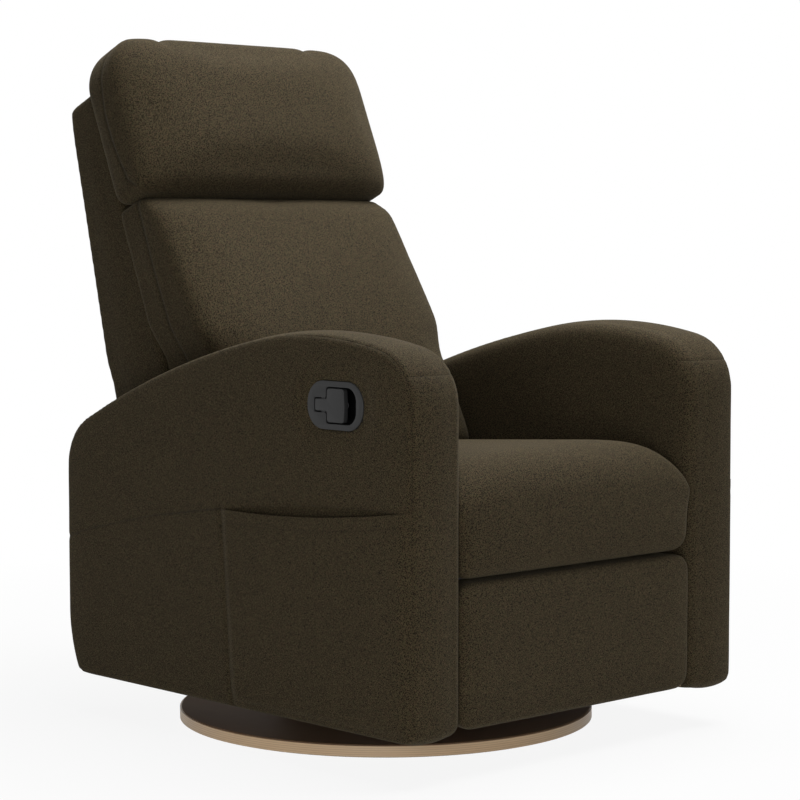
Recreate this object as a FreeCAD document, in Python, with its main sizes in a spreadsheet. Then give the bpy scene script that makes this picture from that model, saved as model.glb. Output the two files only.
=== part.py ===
# Swivel rocker recliner. Millimetres, +Z up, sitter faces -Y, origin on the floor under the swivel.
import FreeCAD, Part
import math
import os
import Sketcher
from types import SimpleNamespace
from FreeCAD import Placement, Rotation, Vector

doc = FreeCAD.newDocument("SwivelRockerRecliner")
sheet = doc.addObject("Spreadsheet::Sheet", "Sizes")

# Driving dimensions: alias, value, meaning
DRIVING = [
    ("overallWidth", 686, "outside of one arm to the outside of the other"),
    ("armThickness", 102, "one arm, side to side"),
    ("armFront", 421, "swivel axis to the arms' front face"),
    ("armRear", 373, "swivel axis to the arms' rear face"),
    ("armTop", 621, "floor to the crown of the arm"),
    ("armBottom", 66, "floor to the arm's lower edge"),
    ("armNoseRadius", 45, "arm outline, front corner"),
    ("armCrownRadius", 650, "arm outline, crown"),
    ("armCrownReach", 215, "swivel axis forward to the crown's highest point"),
    ("armCrownEnd", 90, "swivel axis forward to where the crown turns into the slope"),
    ("armSlopeRadius", 1500, "arm outline, slope behind the crown"),
    ("armShoulderRadius", 90, "arm outline, rear shoulder"),
    ("armHeelRadius", 237, "arm outline, rear lower curve"),
    ("armHeelInset", 26, "how far the rear foot of the arm is tucked in"),
    ("armInnerRound", 30, "round of the arm towards the sitter"),
    ("bandThickness", 12, "padded band over the arm's edge"),
    ("bandSeamHeight", 569, "floor to the cross seam of the band"),
    ("sidePadThickness", 13, "padded outer side of the arm"),
    ("innerPadThickness", 6, "padded inner side of the arm"),
    ("armBoard", 12, "plywood boards inside the arm"),
    ("armTimber", 34, "posts and rails between the boards"),
    ("pocketFront", 408, "swivel axis forward to the pocket's front edge"),
    ("pocketRear", 14, "swivel axis forward to the pocket's rear edge"),
    ("pocketLip", 366, "floor to the pocket's free upper edge"),
    ("pocketMouth", 17, "height of the open mouth over the lip"),
    ("pocketSheet", 3, "outer sheet of the pocket"),
    ("pocketRim", 10, "sewn edge of the pocket"),
    ("softClearance", 0.3, "room between soft pieces and what they rest on"),
    ("armRailRear", 412, "floor to the rear end of the arm's top rail"),
    ("armBoltRadius", 4, "arm bolts"),
    ("armBoltHead", 7, "arm bolts, head"),
    ("armBoltHeadHeight", 4, "arm bolts, head"),
    ("armSpacerRadius", 9, "arm spacers"),
    ("armBoltHeight", 303, "floor to the arm bolts"),
    ("armBoltFront", 300, "swivel axis forward to the first arm bolt"),
    ("armBoltMiddle", 180, "swivel axis forward to the second arm bolt"),
    ("armBoltRear", 130, "swivel axis back to the last arm bolt"),
    ("armBoltHind", 20, "swivel axis back to the third arm bolt"),
    ("padFeltThickness", 2, "felt under the base"),
    ("discRadius", 326.5, "plywood base disc"),
    ("discThickness", 16, "plywood base disc"),
    ("feltInset", 7, "felt, in from the disc's edge"),
    ("topPlateThickness", 1.5, "dark plate on the disc"),
    ("topPlateInset", 3, "dark plate, in from the disc's edge"),
    ("raceRadius", 165, "swivel plates"),
    ("raceThickness", 5, "swivel plates"),
    ("ballRadius", 4, "swivel balls"),
    ("ballCircle", 130, "circle of the swivel balls"),
    ("ballCount", 16, "swivel balls"),
    ("ballClearance", 0.1, "ball to groove"),
    ("ballSink", 0.5, "depth of each groove under the plate's face"),
    ("runningClearance", 0.05, "radial room of every running pin and bore"),
    ("kingBoltRadius", 8, "king bolt, shank"),
    ("kingHeadRadius", 14, "king bolt, head and nut"),
    ("kingHeadHeight", 6, "king bolt, head"),
    ("kingNutHeight", 8, "king bolt, nut"),
    ("standPlay", 6.5, "rocker stand's upright to the hanger"),
    ("standDepth", 150, "rocker stand, front to back"),
    ("standSteel", 6, "rocker stand plate"),
    ("standTopWidth", 54, "rocker stand, top of an upright"),
    ("rockHeight", 120, "floor to the rocker shaft"),
    ("shaftRadius", 9, "rocker shaft"),
    ("shaftPlay", 0.5, "rocker shaft's collar to the bush"),
    ("collarRadius", 14, "collar on the shaft's end"),
    ("collarThickness", 4, "collar on the shaft's end"),
    ("bushWall", 3, "rocker bush"),
    ("bushFlange", 3, "rocker bush, flange beyond the bush"),
    ("hangerRoom", 46.5, "innermost link plate to a hanger's inner face"),
    ("hangerSteel", 5, "rocker hanger plate"),
    ("hangerBoss", 26, "hanger, round its bush"),
    ("crossTube", 25, "square cross tubes"),
    ("crossTubeWall", 2.5, "square cross tubes"),
    ("crossTubeBottom", 250, "floor to the cross tubes"),
    ("crossTubeSpread", 60, "swivel axis to each cross tube"),
    ("springRadius", 20, "rocker spring, to the middle of its wire"),
    ("springWire", 2.5, "rocker spring wire, radius"),
    ("springTurns", 9, "rocker spring"),
    ("springSeatGap", 0.3, "rocker spring's ends to their seats"),
    ("springInset", 56, "outside of the rocker stand to a rocker spring's middle"),
    ("layerStep", 4, "link plate and the gap beside it"),
    ("linkSteel", 3, "link plates"),
    ("chassisInset", 7, "arm's inner face to the chassis plate"),
    ("chassisTop", 318, "floor to the chassis plate's upper edge"),
    ("chassisFront", 355, "swivel axis forward to the chassis plate's front"),
    ("chassisRear", 168, "swivel axis back to the chassis plate's rear"),
    ("chassisMargin", 32, "deep part of the chassis plate, beyond the rear link and the rear tube"),
    ("railHeight", 30, "seat rails"),
    ("railDepth", 25, "seat rails"),
    ("rearRailReach", 98, "swivel axis back to the rear rail"),
    ("rearLinkReach", 90, "rear link's chassis pivot, forward"),
    ("rearLinkHeight", 290, "rear link's chassis pivot, up"),
    ("kneeReach", 50, "knee pivot, forward"),
    ("kneeHeight", 86, "knee pivot, up"),
    ("toeReach", 330, "footrest pivot, forward"),
    ("toeHeight", 235, "footrest pivot, up"),
    ("controlBack", 24.9, "control link's chassis pivot, behind the rear link's"),
    ("controlDrop", 17.1, "control link's chassis pivot, under the rear link's"),
    ("tailBack", 19.2, "front link's tail pivot, behind the knee"),
    ("tailDrop", 16.0, "front link's tail pivot, under the knee"),
    ("stayKneeForward", 13.9, "footrest stay's rear pivot, before the knee"),
    ("stayKneeRise", 34.5, "footrest stay's rear pivot, over the knee"),
    ("stayToeForward", 15.0, "footrest stay's front pivot, before the toe"),
    ("stayToeRise", 31.0, "footrest stay's front pivot, over the toe"),
    ("openPivotRoom", 2, "extra radius of the hole at an open pivot"),
    ("rivetRadius", 4, "link rivets"),
    ("rivetHeadLip", 3, "rivet heads, beyond the shank"),
    ("rivetHeadHeight", 0.7, "rivet heads"),
    ("rearLinkWidth", 13, "rear link, half width"),
    ("frontLinkWidth", 10.5, "front link, half width"),
    ("slimLinkWidth", 8, "control link and footrest stay, half width"),
    ("torqueTubeRadius", 11, "drive tube, outside"),
    ("torqueTubeBore", 7, "drive tube, inside"),
    ("backPivotReach", 150, "recline pivot, behind the swivel axis"),
    ("backPivotDrop", 18, "recline pivot, under the chassis plate's upper edge"),
    ("backPinRadius", 6, "recline pin"),
    ("backPinReach", 3, "recline pin, past the bracket"),
    ("backBracketWidth", 17, "recline bracket, half width"),
    ("backBracketRise", 160, "recline bracket, up the back frame"),
    ("footPadFront", 418, "swivel axis forward to the footrest's face"),
    ("footPadThickness", 44, "footrest pad"),
    ("footPadBottom", 74, "floor to the footrest's lower edge"),
    ("footPadTop", 273, "floor to the footrest's upper edge"),
    ("footBoard", 12, "footrest board"),
    ("footBoardInset", 16, "footrest board, in from the pad's edge"),
    ("footPadRound", 15, "footrest pad, edge round"),
    ("footFlange", 22, "footrest bracket, flange"),
    ("footBracketLow", 60, "footrest bracket, in from the pad's lower edge"),
    ("footBracketHigh", 30, "footrest bracket's flange, in from the pad's upper edge"),
    ("seatFront", 424, "swivel axis forward to the seat cushion"),
    ("seatRear", 52, "swivel axis back to the seat cushion's rear"),
    ("seatTopFront", 458, "floor to the seat cushion's top, front"),
    ("seatTopRear", 440, "floor to the seat cushion's top, rear"),
    ("seatLip", 280, "floor to the cushion's front lip"),
    ("seatLipDepth", 60, "seat cushion's front lip"),
    ("seatRound", 24, "seat cushion, upper and front edges"),
    ("seatFrontFall", 8, "seat cushion, fall of its front edge"),
    ("seatSpringWire", 2, "seat and back springs, wire radius"),
    ("seatSpringCount", 5, "seat springs"),
    ("seatSpringTurns", 18, "seat spring, rungs"),
    ("seatSpringInset", 51, "chassis plate to the middle of the outermost seat spring"),
    ("seatSpringGap", 30, "between two seat springs"),
    ("backLean", 23, "back frame from the vertical, degrees"),
    ("backFootReach", 165, "swivel axis back to the back frame's foot"),
    ("backFootRise", 22, "back frame's foot over the chassis plate's upper edge"),
    ("backFrameRise", 690, "back frame's height along its lean"),
    ("backFrameDrop", 11, "back frame below its foot point"),
    ("backFrameTimber", 22, "back frame, thickness"),
    ("backPostWidth", 40, "back frame, width of a post"),
    ("backMiddleRail", 428, "back frame, middle rail's height along the lean"),
    ("backShellWall", 6.5, "back shell"),
    ("backShellTop", 702, "back shell's height along the lean"),
    ("backShellTopDepth", 60.5, "back shell's depth at the top"),
    ("backShellBottom", 330, "floor to the back shell"),
    ("backShellRear", 343, "swivel axis back to the shell's lower rear edge"),
    ("backShellRound", 26, "back shell, upper rear edge"),
    ("backShellFoot", 9, "back shell, lower end of its rear wall"),
    ("softInset", 2, "arm's inner face to the moving soft pieces"),
    ("backSpringCount", 5, "back springs"),
    ("backSpringTurns", 22, "back spring, rungs"),
    ("backSpringInset", 41, "back post to the middle of the outermost back spring"),
    ("backSpringDepth", 6, "back springs, behind the frame's front face"),
    ("backSpringGap", 13, "between two back springs"),
    ("backCushionTop", 496, "back cushion, height along the lean"),
    ("backCushionTopDepth", 92, "back cushion, thickness near its top"),
    ("backCushionBow", 1500, "back cushion, radius of its bowed front"),
    ("backCushionFoot", 128, "back cushion, thickness near its foot"),
    ("backCushionCrown", 40, "back cushion, upper front round"),
    ("backCushionLowRound", 28, "back cushion, lower front round"),
    ("cushionRound", 20, "back cushion, side edges"),
    ("pillowBottom", 500, "headrest pillow, lower edge along the lean"),
    ("pillowTop", 770, "headrest pillow, upper edge along the lean"),
    ("pillowDepth", 122, "headrest pillow, thickness"),
    ("pillowWidth", 504, "headrest pillow, side to side"),
    ("pillowFrontRound", 60, "headrest pillow, upper front round"),
    ("pillowRearRound", 22, "headrest pillow, rear rounds"),
    ("pillowLowRound", 36, "headrest pillow, lower front round"),
    ("pillowSideRound", 18, "headrest pillow, side edges"),
    ("leverBehind", 154.5, "arm's front face back to the bezel's middle"),
    ("leverDrop", 98.5, "crown of the arm down to the bezel's middle"),
    ("bezelLength", 115, "lever bezel, front to back"),
    ("bezelHeight", 70, "lever bezel, up"),
    ("bezelRound", 26, "lever bezel, corners"),
    ("bezelProud", 2, "lever bezel, out of the arm's side"),
    ("cupLength", 106, "lever cup, front to back"),
    ("cupHeight", 60, "lever cup, up"),
    ("cupDepth", 23, "lever cup, into the arm"),
    ("cupFloor", 3, "lever cup, floor"),
    ("stemHeight", 21, "lever recess, narrow rear part"),
    ("stemLength", 25, "lever recess, narrow rear part"),
    ("headHeight", 52, "lever recess, wide front part"),
    ("headLength", 63, "lever recess, wide front part"),
    ("recessRound", 18, "lever recess, front corners"),
    ("fingerWell", 26, "open part of the recess before the paddle"),
    ("paddleThickness", 4, "lever paddle"),
    ("paddleGap", 1.2, "paddle to the recess, above and below"),
    ("paddleSwingGap", 2, "paddle to the recess, at its rear faces"),
    ("paddleTail", 14, "paddle, rear end behind its pin"),
    ("leverPinRadius", 2, "lever pin"),
    ("leverBarrelRadius", 4.5, "paddle's barrel"),
    ("leverPinGrip", 4, "lever pin in the bezel, each end"),
    ("leverSpringReach", 21, "lever recess, waist forward to the spring"),
    ("leverSpringWire", 0.6, "lever spring wire, radius"),
    ("leverSpringTurns", 5, "lever spring"),
]


class Dim:
    """A length: its value now, and the expression that gives it from the sheet."""

    def __init__(self, value, text=None):
        self.value = float(value)
        self.text = text if text else format(float(value), ".6g")

    def paired(self, other, sign, value):
        return Dim(value, "(" + self.text + " " + sign + " " + dim(other).text + ")")

    def __add__(self, other):
        return self.paired(other, "+", self.value + dim(other).value)

    def __radd__(self, other):
        return dim(other) + self

    def __sub__(self, other):
        return self.paired(other, "-", self.value - dim(other).value)

    def __rsub__(self, other):
        return dim(other) - self

    def __mul__(self, other):
        return self.paired(other, "*", self.value * dim(other).value)

    def __rmul__(self, other):
        return dim(other) * self

    def __truediv__(self, other):
        return self.paired(other, "/", self.value / dim(other).value)

    def __neg__(self):
        return Dim(-self.value, "(-1 * " + self.text + ")")


def dim(value):
    return value if isinstance(value, Dim) else Dim(value)


def sine(angle):
    return Dim(math.sin(math.radians(angle.value)), "sin(" + angle.text + ")")


def cosine(angle):
    return Dim(math.cos(math.radians(angle.value)), "cos(" + angle.text + ")")


def bind(thing, prop, value):
    thing.setExpression(prop, dim(value).text)


beyond = Dim(1)  # how far a cutting tool reaches past the piece
nearFace = 1.0  # an edge this close to a face counts as on it

for row, (alias, value, meaning) in enumerate(DRIVING, 1):
    sheet.set("A%d" % row, meaning)
    sheet.set("B%d" % row, str(value))
    sheet.setAlias("B%d" % row, alias)
doc.recompute()
d = SimpleNamespace(**{alias: Dim(sheet.get(alias), "Sizes." + alias) for alias, value, meaning in DRIVING})
pieces = {}
SIDES = {"right": -1, "left": 1}


def keep(label, thing):
    """File one finished sub-part under its node name."""
    thing.Label = label
    pieces[label] = thing
    return thing


def place(thing, x=0, y=0, z=0, turn=None):
    if turn:
        thing.Placement = Placement(Vector(), turn)
    bind(thing, "Placement.Base.x", x)
    bind(thing, "Placement.Base.y", y)
    bind(thing, "Placement.Base.z", z)
    return thing


def block(name, low, span):
    """Box from its lowest corner and its three spans."""
    box = doc.addObject("Part::Box", name)
    for prop, value in zip(("Length", "Width", "Height"), span):
        bind(box, prop, value)
    return place(box, *low)


TURNS = {"x": Rotation(Vector(0, 1, 0), 90), "y": Rotation(Vector(1, 0, 0), -90), "z": None}


def rod(name, radius, length, start, along="z"):
    """Round bar that starts at a point and runs along +X, +Y or +Z."""
    bar = doc.addObject("Part::Cylinder", name)
    bind(bar, "Radius", radius)
    bind(bar, "Height", length)
    return place(bar, *start, turn=TURNS[along])


def cut(name, base, tool):
    result = doc.addObject("Part::Cut", name)
    result.Base = base
    result.Tool = tool
    return result


def joined(kind, name, shapes):
    result = doc.addObject(kind, name)
    if kind == "Part::Compound":
        result.Links = shapes
    else:
        result.Shapes = shapes
    return result


def fuse(name, shapes):
    return joined("Part::MultiFuse", name, shapes)


def common(name, shapes):
    return joined("Part::MultiCommon", name, shapes)


def group(name, shapes):
    return joined("Part::Compound", name, shapes)


def arcBetween(start, end, radius):
    """Circle arc from start to end, its centre on the left of the way when radius is positive."""
    middle = (start + end) / 2
    way = end - start
    reach = math.sqrt(max(radius ** 2 - (way.Length / 2) ** 2, 0))
    side = Vector(-way.y, way.x, 0).normalize() * (reach if radius > 0 else -reach)
    centre = middle + side
    first, last = (start, end) if radius > 0 else (end, start)
    angles = [math.atan2(point.y - centre.y, point.x - centre.x) for point in (first, last)]
    if angles[1] < angles[0]:
        angles[1] += 2 * math.pi
    return Part.ArcOfCircle(Part.Circle(centre, Vector(0, 0, 1), abs(radius)), *angles)


def pin(sketch, index, spot, point):
    """Hold one point of a sketch at its place from the sheet."""
    for kind, value in zip(("DistanceX", "DistanceY"), point):
        held = sketch.addConstraint(Sketcher.Constraint(kind, -1, 1, index, spot, dim(value).value))
        sketch.setExpression("Constraints[%d]" % held, dim(value).text)


def drawOutline(sketch, points):
    """Closed outline: each point is (u, v), or (u, v, radius) where an arc leads to the next."""
    spots = [Vector(dim(point[0]).value, dim(point[1]).value, 0) for point in points]
    for number, point in enumerate(points):
        start = spots[number]
        end = spots[(number + 1) % len(spots)]
        if len(point) == 2:
            index = sketch.addGeometry(Part.LineSegment(start, end), False)
            ends = (1, 2)
        else:
            radius = dim(point[2])
            index = sketch.addGeometry(arcBetween(start, end, radius.value), False)
            ends = (1, 2) if radius.value > 0 else (2, 1)
            size = radius if radius.value > 0 else -radius
            held = sketch.addConstraint(Sketcher.Constraint("Radius", index, size.value))
            sketch.setExpression("Constraints[%d]" % held, size.text)
        pin(sketch, index, ends[0], point[:2])
        if number:
            sketch.addConstraint(Sketcher.Constraint("Coincident", *lastEnd, index, ends[0]))
        else:
            first = (index, ends[0])
        lastEnd = (index, ends[1])
    sketch.addConstraint(Sketcher.Constraint("Coincident", *lastEnd, *first))


def drawCircle(sketch, centre, radius):
    middle = Vector(dim(centre[0]).value, dim(centre[1]).value, 0)
    index = sketch.addGeometry(Part.Circle(middle, Vector(0, 0, 1), dim(radius).value), False)
    pin(sketch, index, 3, centre)
    held = sketch.addConstraint(Sketcher.Constraint("Radius", index, dim(radius).value))
    sketch.setExpression("Constraints[%d]" % held, dim(radius).text)


def drawSlot(sketch, start, end, radius):
    """Outline of a link: two round ends and the tangent sides between them."""
    centres = [Vector(dim(point[0]).value, dim(point[1]).value, 0) for point in (start, end)]
    way = (centres[1] - centres[0]).normalize()
    side = Vector(-way.y, way.x, 0) * dim(radius).value
    heading = math.atan2(way.y, way.x)
    up = Vector(0, 0, 1)
    rear = sketch.addGeometry(Part.ArcOfCircle(Part.Circle(centres[0], up, dim(radius).value),
                                               heading + math.pi / 2, heading + 3 * math.pi / 2), False)
    near = sketch.addGeometry(Part.LineSegment(centres[0] - side, centres[1] - side), False)
    front = sketch.addGeometry(Part.ArcOfCircle(Part.Circle(centres[1], up, dim(radius).value),
                                                heading - math.pi / 2, heading + math.pi / 2), False)
    far = sketch.addGeometry(Part.LineSegment(centres[1] + side, centres[0] + side), False)
    for one, other in ((rear, near), (near, front), (front, far), (far, rear)):
        sketch.addConstraint(Sketcher.Constraint("Tangent", one, 2, other, 1))
    pin(sketch, rear, 3, start)
    pin(sketch, front, 3, end)
    held = sketch.addConstraint(Sketcher.Constraint("Radius", rear, dim(radius).value))
    sketch.setExpression("Constraints[%d]" % held, dim(radius).text)


def newSketch(body, role, offset, name):
    plane = [feature for feature in body.Origin.OriginFeatures if feature.Role == role][0]
    sketch = body.newObject("Sketcher::SketchObject", name)
    sketch.AttachmentSupport = [(plane, "")]
    sketch.MapMode = "FlatFace"
    sketch.AttachmentOffset = Placement(Vector(0, 0, dim(offset).value), Rotation())
    bind(sketch, "AttachmentOffset.Base.z", offset)
    return sketch


def padded(name, role, offset, thickness, draw):
    """Body with one sketch, drawn by draw(sketch), padded from its plane by a thickness."""
    body = doc.addObject("PartDesign::Body", name)
    sketch = newSketch(body, role, offset, name + "Outline")
    draw(sketch)
    pad = body.newObject("PartDesign::Pad", name + "Pad")
    pad.Profile = sketch
    pad.Length = dim(thickness).value
    bind(pad, "Length", thickness)
    sketch.Visibility = False
    return body


def plate(name, low, thickness, outline, holes=(), role="YZ_Plane"):
    """Flat piece with an outline and round holes, each hole as (centre, radius)."""
    def draw(sketch):
        drawOutline(sketch, outline)
        for centre, radius in holes:
            drawCircle(sketch, centre, radius)
    return padded(name, role, low, thickness, draw)


def link(name, low, thickness, ends, halfWidth, holes):
    """Flat steel link between two pivots, with its holes as (centre, radius)."""
    def draw(sketch):
        drawSlot(sketch, ends[0], ends[1], halfWidth)
        for centre, radius in holes:
            drawCircle(sketch, centre, radius)
    return padded(name, "YZ_Plane", low, thickness, draw)


def disc(name, low, thickness, radius, bore, centre=(0, 0)):
    def draw(sketch):
        drawCircle(sketch, centre, radius)
        drawCircle(sketch, centre, bore)
    return padded(name, "XY_Plane", low, thickness, draw)


def edgesWhere(shape, test):
    """Names of the edges whose middle point passes a test."""
    names = []
    for number, edge in enumerate(shape.Edges, 1):
        middle = edge.valueAt((edge.FirstParameter + edge.LastParameter) / 2)
        if test(middle, edge):
            names.append("Edge%d" % number)
    return names


def rounded(body, radius, test):
    """Round the edges of a body's last feature that pass a test."""
    doc.recompute()
    base = body.Tip
    fillet = body.newObject("PartDesign::Fillet", body.Name + "Round%d" % len(body.Group))
    fillet.Base = (base, edgesWhere(base.Shape, test))
    fillet.Radius = dim(radius).value
    bind(fillet, "Radius", radius)
    return body


def sideStart(side, inner, thickness):
    """Lowest X of a layer that starts at a distance from the middle, on either side."""
    return inner if SIDES[side] > 0 else -(dim(inner) + thickness)


def bothSides(name, make):
    """One node with a right and a left solid of the same piece."""
    return keep(name, group(name, [make(side) for side in SIDES]))


# Layers across the chair, from the arm inwards
armOuter = d.overallWidth / 2
armInner = armOuter - d.armThickness
chassisLayer = armInner - d.chassisInset - d.linkSteel
linkLayer = [chassisLayer - d.layerStep * number for number in range(4)]
hangerInside = linkLayer[3] - d.hangerRoom
standHalf = hangerInside - d.standPlay

# Levels of the base and the swivel, from the floor up
discBottom = d.padFeltThickness
discTop = discBottom + d.discThickness
raceBottom = discTop + d.topPlateThickness
grooveRadius = d.ballRadius + d.ballClearance
ballHeight = raceBottom + d.raceThickness - d.ballSink + grooveRadius
upperRace = ballHeight + grooveRadius - d.ballSink
standBottom = upperRace + d.raceThickness
standPlate = standBottom + d.standSteel
kingBore = d.kingBoltRadius + d.runningClearance


def makeBase():
    keep("floor_pad", rod("FloorPad", d.discRadius - d.feltInset, d.padFeltThickness, (0, 0, 0)))
    base = disc("BaseDisc", discBottom, d.discThickness, d.discRadius, kingBore)
    sketch = newSketch(base, "XY_Plane", discBottom, "BaseDiscRecess")
    drawCircle(sketch, (0, 0), d.kingHeadRadius + d.softClearance)
    recess = base.newObject("PartDesign::Pocket", "BaseDiscCounterbore")
    recess.Profile = sketch
    recess.Reversed = True
    bind(recess, "Length", d.kingHeadHeight)
    keep("base_disc", base)
    keep("base_top_plate", disc("BaseTopPlate", discTop, d.topPlateThickness,
                                d.discRadius - d.topPlateInset, kingBore))


def grooved(name, low):
    """Swivel plate with the ball groove cut into it."""
    whole = disc(name + "Plate", low, d.raceThickness, d.raceRadius, kingBore)
    groove = doc.addObject("Part::Torus", name + "Groove")
    bind(groove, "Radius1", d.ballCircle)
    bind(groove, "Radius2", grooveRadius)
    place(groove, z=ballHeight)
    return cut(name, whole, groove)


def makeSwivel():
    keep("swivel_lower_race", grooved("LowerRace", raceBottom))
    keep("swivel_upper_race", grooved("UpperRace", upperRace))
    balls = []
    count = int(d.ballCount.value)
    for number in range(count):
        ball = doc.addObject("Part::Sphere", "Ball%d" % number)
        bind(ball, "Radius", d.ballRadius)
        turn = Dim(360.0 * number / count)
        balls.append(place(ball, d.ballCircle * cosine(turn), d.ballCircle * sine(turn), ballHeight))
    keep("swivel_balls", group("Balls", balls))
    nutBottom = standBottom + d.runningClearance
    head = rod("KingHead", d.kingHeadRadius, d.kingHeadHeight - d.runningClearance,
               (0, 0, discBottom + d.runningClearance))
    shank = rod("KingShank", d.kingBoltRadius, nutBottom + d.kingNutHeight - discBottom,
                (0, 0, discBottom + d.runningClearance))
    nut = rod("KingNut", d.kingHeadRadius, d.kingNutHeight, (0, 0, nutBottom))
    keep("king_bolt", fuse("KingBolt", [head, shank, nut]))


def makeRocker():
    half = standHalf
    inner = half - d.standSteel
    top = d.rockHeight + d.standTopWidth / 2
    outline = [(-half, standBottom), (half, standBottom), (half, top), (inner, top),
               (inner, standPlate), (-inner, standPlate), (-inner, top), (-half, top)]
    stand = plate("RockerStandForm", -(d.standDepth / 2), d.standDepth, outline, role="XZ_Plane")
    slant = [(-(d.standDepth / 2), standPlate), (-(d.standTopWidth / 2), top),
             (-(d.standDepth / 2), top)]
    mirrored = [(d.standDepth / 2, standPlate), (d.standDepth / 2, top), (d.standTopWidth / 2, top)]
    wedges = [plate("StandWedge%d" % number, -half - beyond, (standHalf + beyond) * 2, points)
              for number, points in enumerate((slant, mirrored))]
    shaftHole = rod("StandShaftHole", d.shaftRadius + d.runningClearance, (standHalf + beyond) * 2,
                    (-half - beyond, 0, d.rockHeight), "x")
    nutHole = rod("StandNutHole", d.kingHeadRadius + d.standSteel, d.standSteel + beyond * 2,
                  (0, 0, standBottom - beyond))
    keep("rocker_stand", cut("RockerStand", stand, fuse("StandCuts", wedges + [shaftHole, nutHole])))
    shaftEnd = hangerInside + d.hangerSteel + d.bushFlange + d.shaftPlay + d.collarThickness
    shaft = rod("ShaftBar", d.shaftRadius, shaftEnd * 2, (-shaftEnd, 0, d.rockHeight), "x")
    collars = [rod("ShaftCollar" + side, d.collarRadius, d.collarThickness,
                   (sideStart(side, shaftEnd - d.collarThickness, d.collarThickness), 0, d.rockHeight),
                   "x") for side in SIDES]
    keep("rocker_shaft", fuse("RockerShaft", [shaft] + collars))
    bushRadius = d.shaftRadius + d.runningClearance + d.bushWall

    def hanger(side):
        outline = [(-(d.crossTubeSpread + d.crossTube / 2), d.crossTubeBottom),
                   (-d.hangerBoss, d.rockHeight, d.hangerBoss + d.bushWall), (d.hangerBoss, d.rockHeight),
                   (d.crossTubeSpread + d.crossTube / 2, d.crossTubeBottom)]
        return plate("Hanger" + side, sideStart(side, hangerInside, d.hangerSteel), d.hangerSteel,
                     outline, [((0, d.rockHeight), bushRadius + d.runningClearance)])

    bothSides("rocker_hangers", hanger)

    def bush(side):
        start = hangerInside - d.bushFlange / 2
        sleeve = rod("BushSleeve" + side, bushRadius, d.hangerSteel + d.bushFlange,
                     (sideStart(side, start, d.hangerSteel + d.bushFlange), 0, d.rockHeight), "x")
        rim = rod("BushRim" + side, bushRadius + d.bushFlange, d.bushFlange,
                  (sideStart(side, hangerInside + d.hangerSteel, d.bushFlange), 0, d.rockHeight), "x")
        bore = rod("BushBore" + side, d.shaftRadius + d.runningClearance, shaftEnd,
                   (sideStart(side, beyond, shaftEnd), 0, d.rockHeight), "x")
        return cut("Bush" + side, fuse("BushForm" + side, [sleeve, rim]), bore)

    bothSides("rocker_bushes", bush)
    springs = []
    for side, sign in SIDES.items():
        for end, reach in (("Front", -d.crossTubeSpread), ("Rear", d.crossTubeSpread)):
            seat = d.springWire + d.springSeatGap
            springs.append(coil("RockerSpring" + side + end, d.springRadius, d.springWire,
                                d.crossTubeBottom - standPlate - seat * 2, d.springTurns,
                                ((standHalf - d.springInset) * sign, reach, standPlate + seat)))
    keep("rocker_springs", group("RockerSprings", springs))


def coil(name, radius, wire, rise, turns, start, turn=None):
    """Coil spring as a round wire swept along a helix."""
    helix = doc.addObject("Part::Helix", name + "Path")
    bind(helix, "Radius", radius)
    bind(helix, "Height", rise)
    bind(helix, "Pitch", rise / turns)
    circle = doc.addObject("Part::Circle", name + "Wire")
    bind(circle, "Radius", wire)
    circle.Placement = Placement(Vector(dim(radius).value, 0, 0), Rotation(Vector(1, 0, 0), 90))
    bind(circle, "Placement.Base.x", radius)
    doc.recompute()
    sweep = doc.addObject("Part::Sweep", name)
    sweep.Sections = [circle]
    sweep.Spine = (helix, ["Edge%d" % (number + 1) for number in range(len(helix.Shape.Edges))])
    sweep.Solid = True
    sweep.Frenet = True
    return place(sweep, *start, turn=turn)


def pair(forward, height):
    """Point of the side view from its reach before the swivel axis and its height."""
    return (-forward, height)


hipPivot = pair(d.rearLinkReach, d.rearLinkHeight)
kneePivot = pair(d.kneeReach, d.kneeHeight)
toePivot = pair(d.toeReach, d.toeHeight)
controlPivot = pair(d.rearLinkReach - d.controlBack, d.rearLinkHeight - d.controlDrop)
tailPivot = pair(d.kneeReach - d.tailBack, d.kneeHeight - d.tailDrop)
stayKnee = pair(d.kneeReach + d.stayKneeForward, d.kneeHeight + d.stayKneeRise)
stayToe = pair(d.toeReach + d.stayToeForward, d.toeHeight + d.stayToeRise)
backPivot = (d.backPivotReach, d.chassisTop - d.backPivotDrop)
backFootHeight = d.chassisTop + d.backFootRise
armBolts = [(-d.armBoltFront, d.armBoltHeight), (-d.armBoltMiddle, d.armBoltHeight),
            (d.armBoltHind, d.armBoltHeight), (d.armBoltRear, d.armBoltHeight)]
rivetHole = d.rivetRadius + d.runningClearance
openHole = d.rivetRadius + d.openPivotRoom


def rivet(name, side, point, radius, inner, outer):
    """Pin across the link layers with a low head on its inner end."""
    length = outer - inner
    shank = rod(name + "Shank", radius, length, (sideStart(side, inner, length), *point), "x")
    head = rod(name + "Head", radius + d.rivetHeadLip, d.rivetHeadHeight,
               (sideStart(side, inner - d.rivetHeadHeight, d.rivetHeadHeight), *point), "x")
    return fuse(name, [shank, head])


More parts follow.
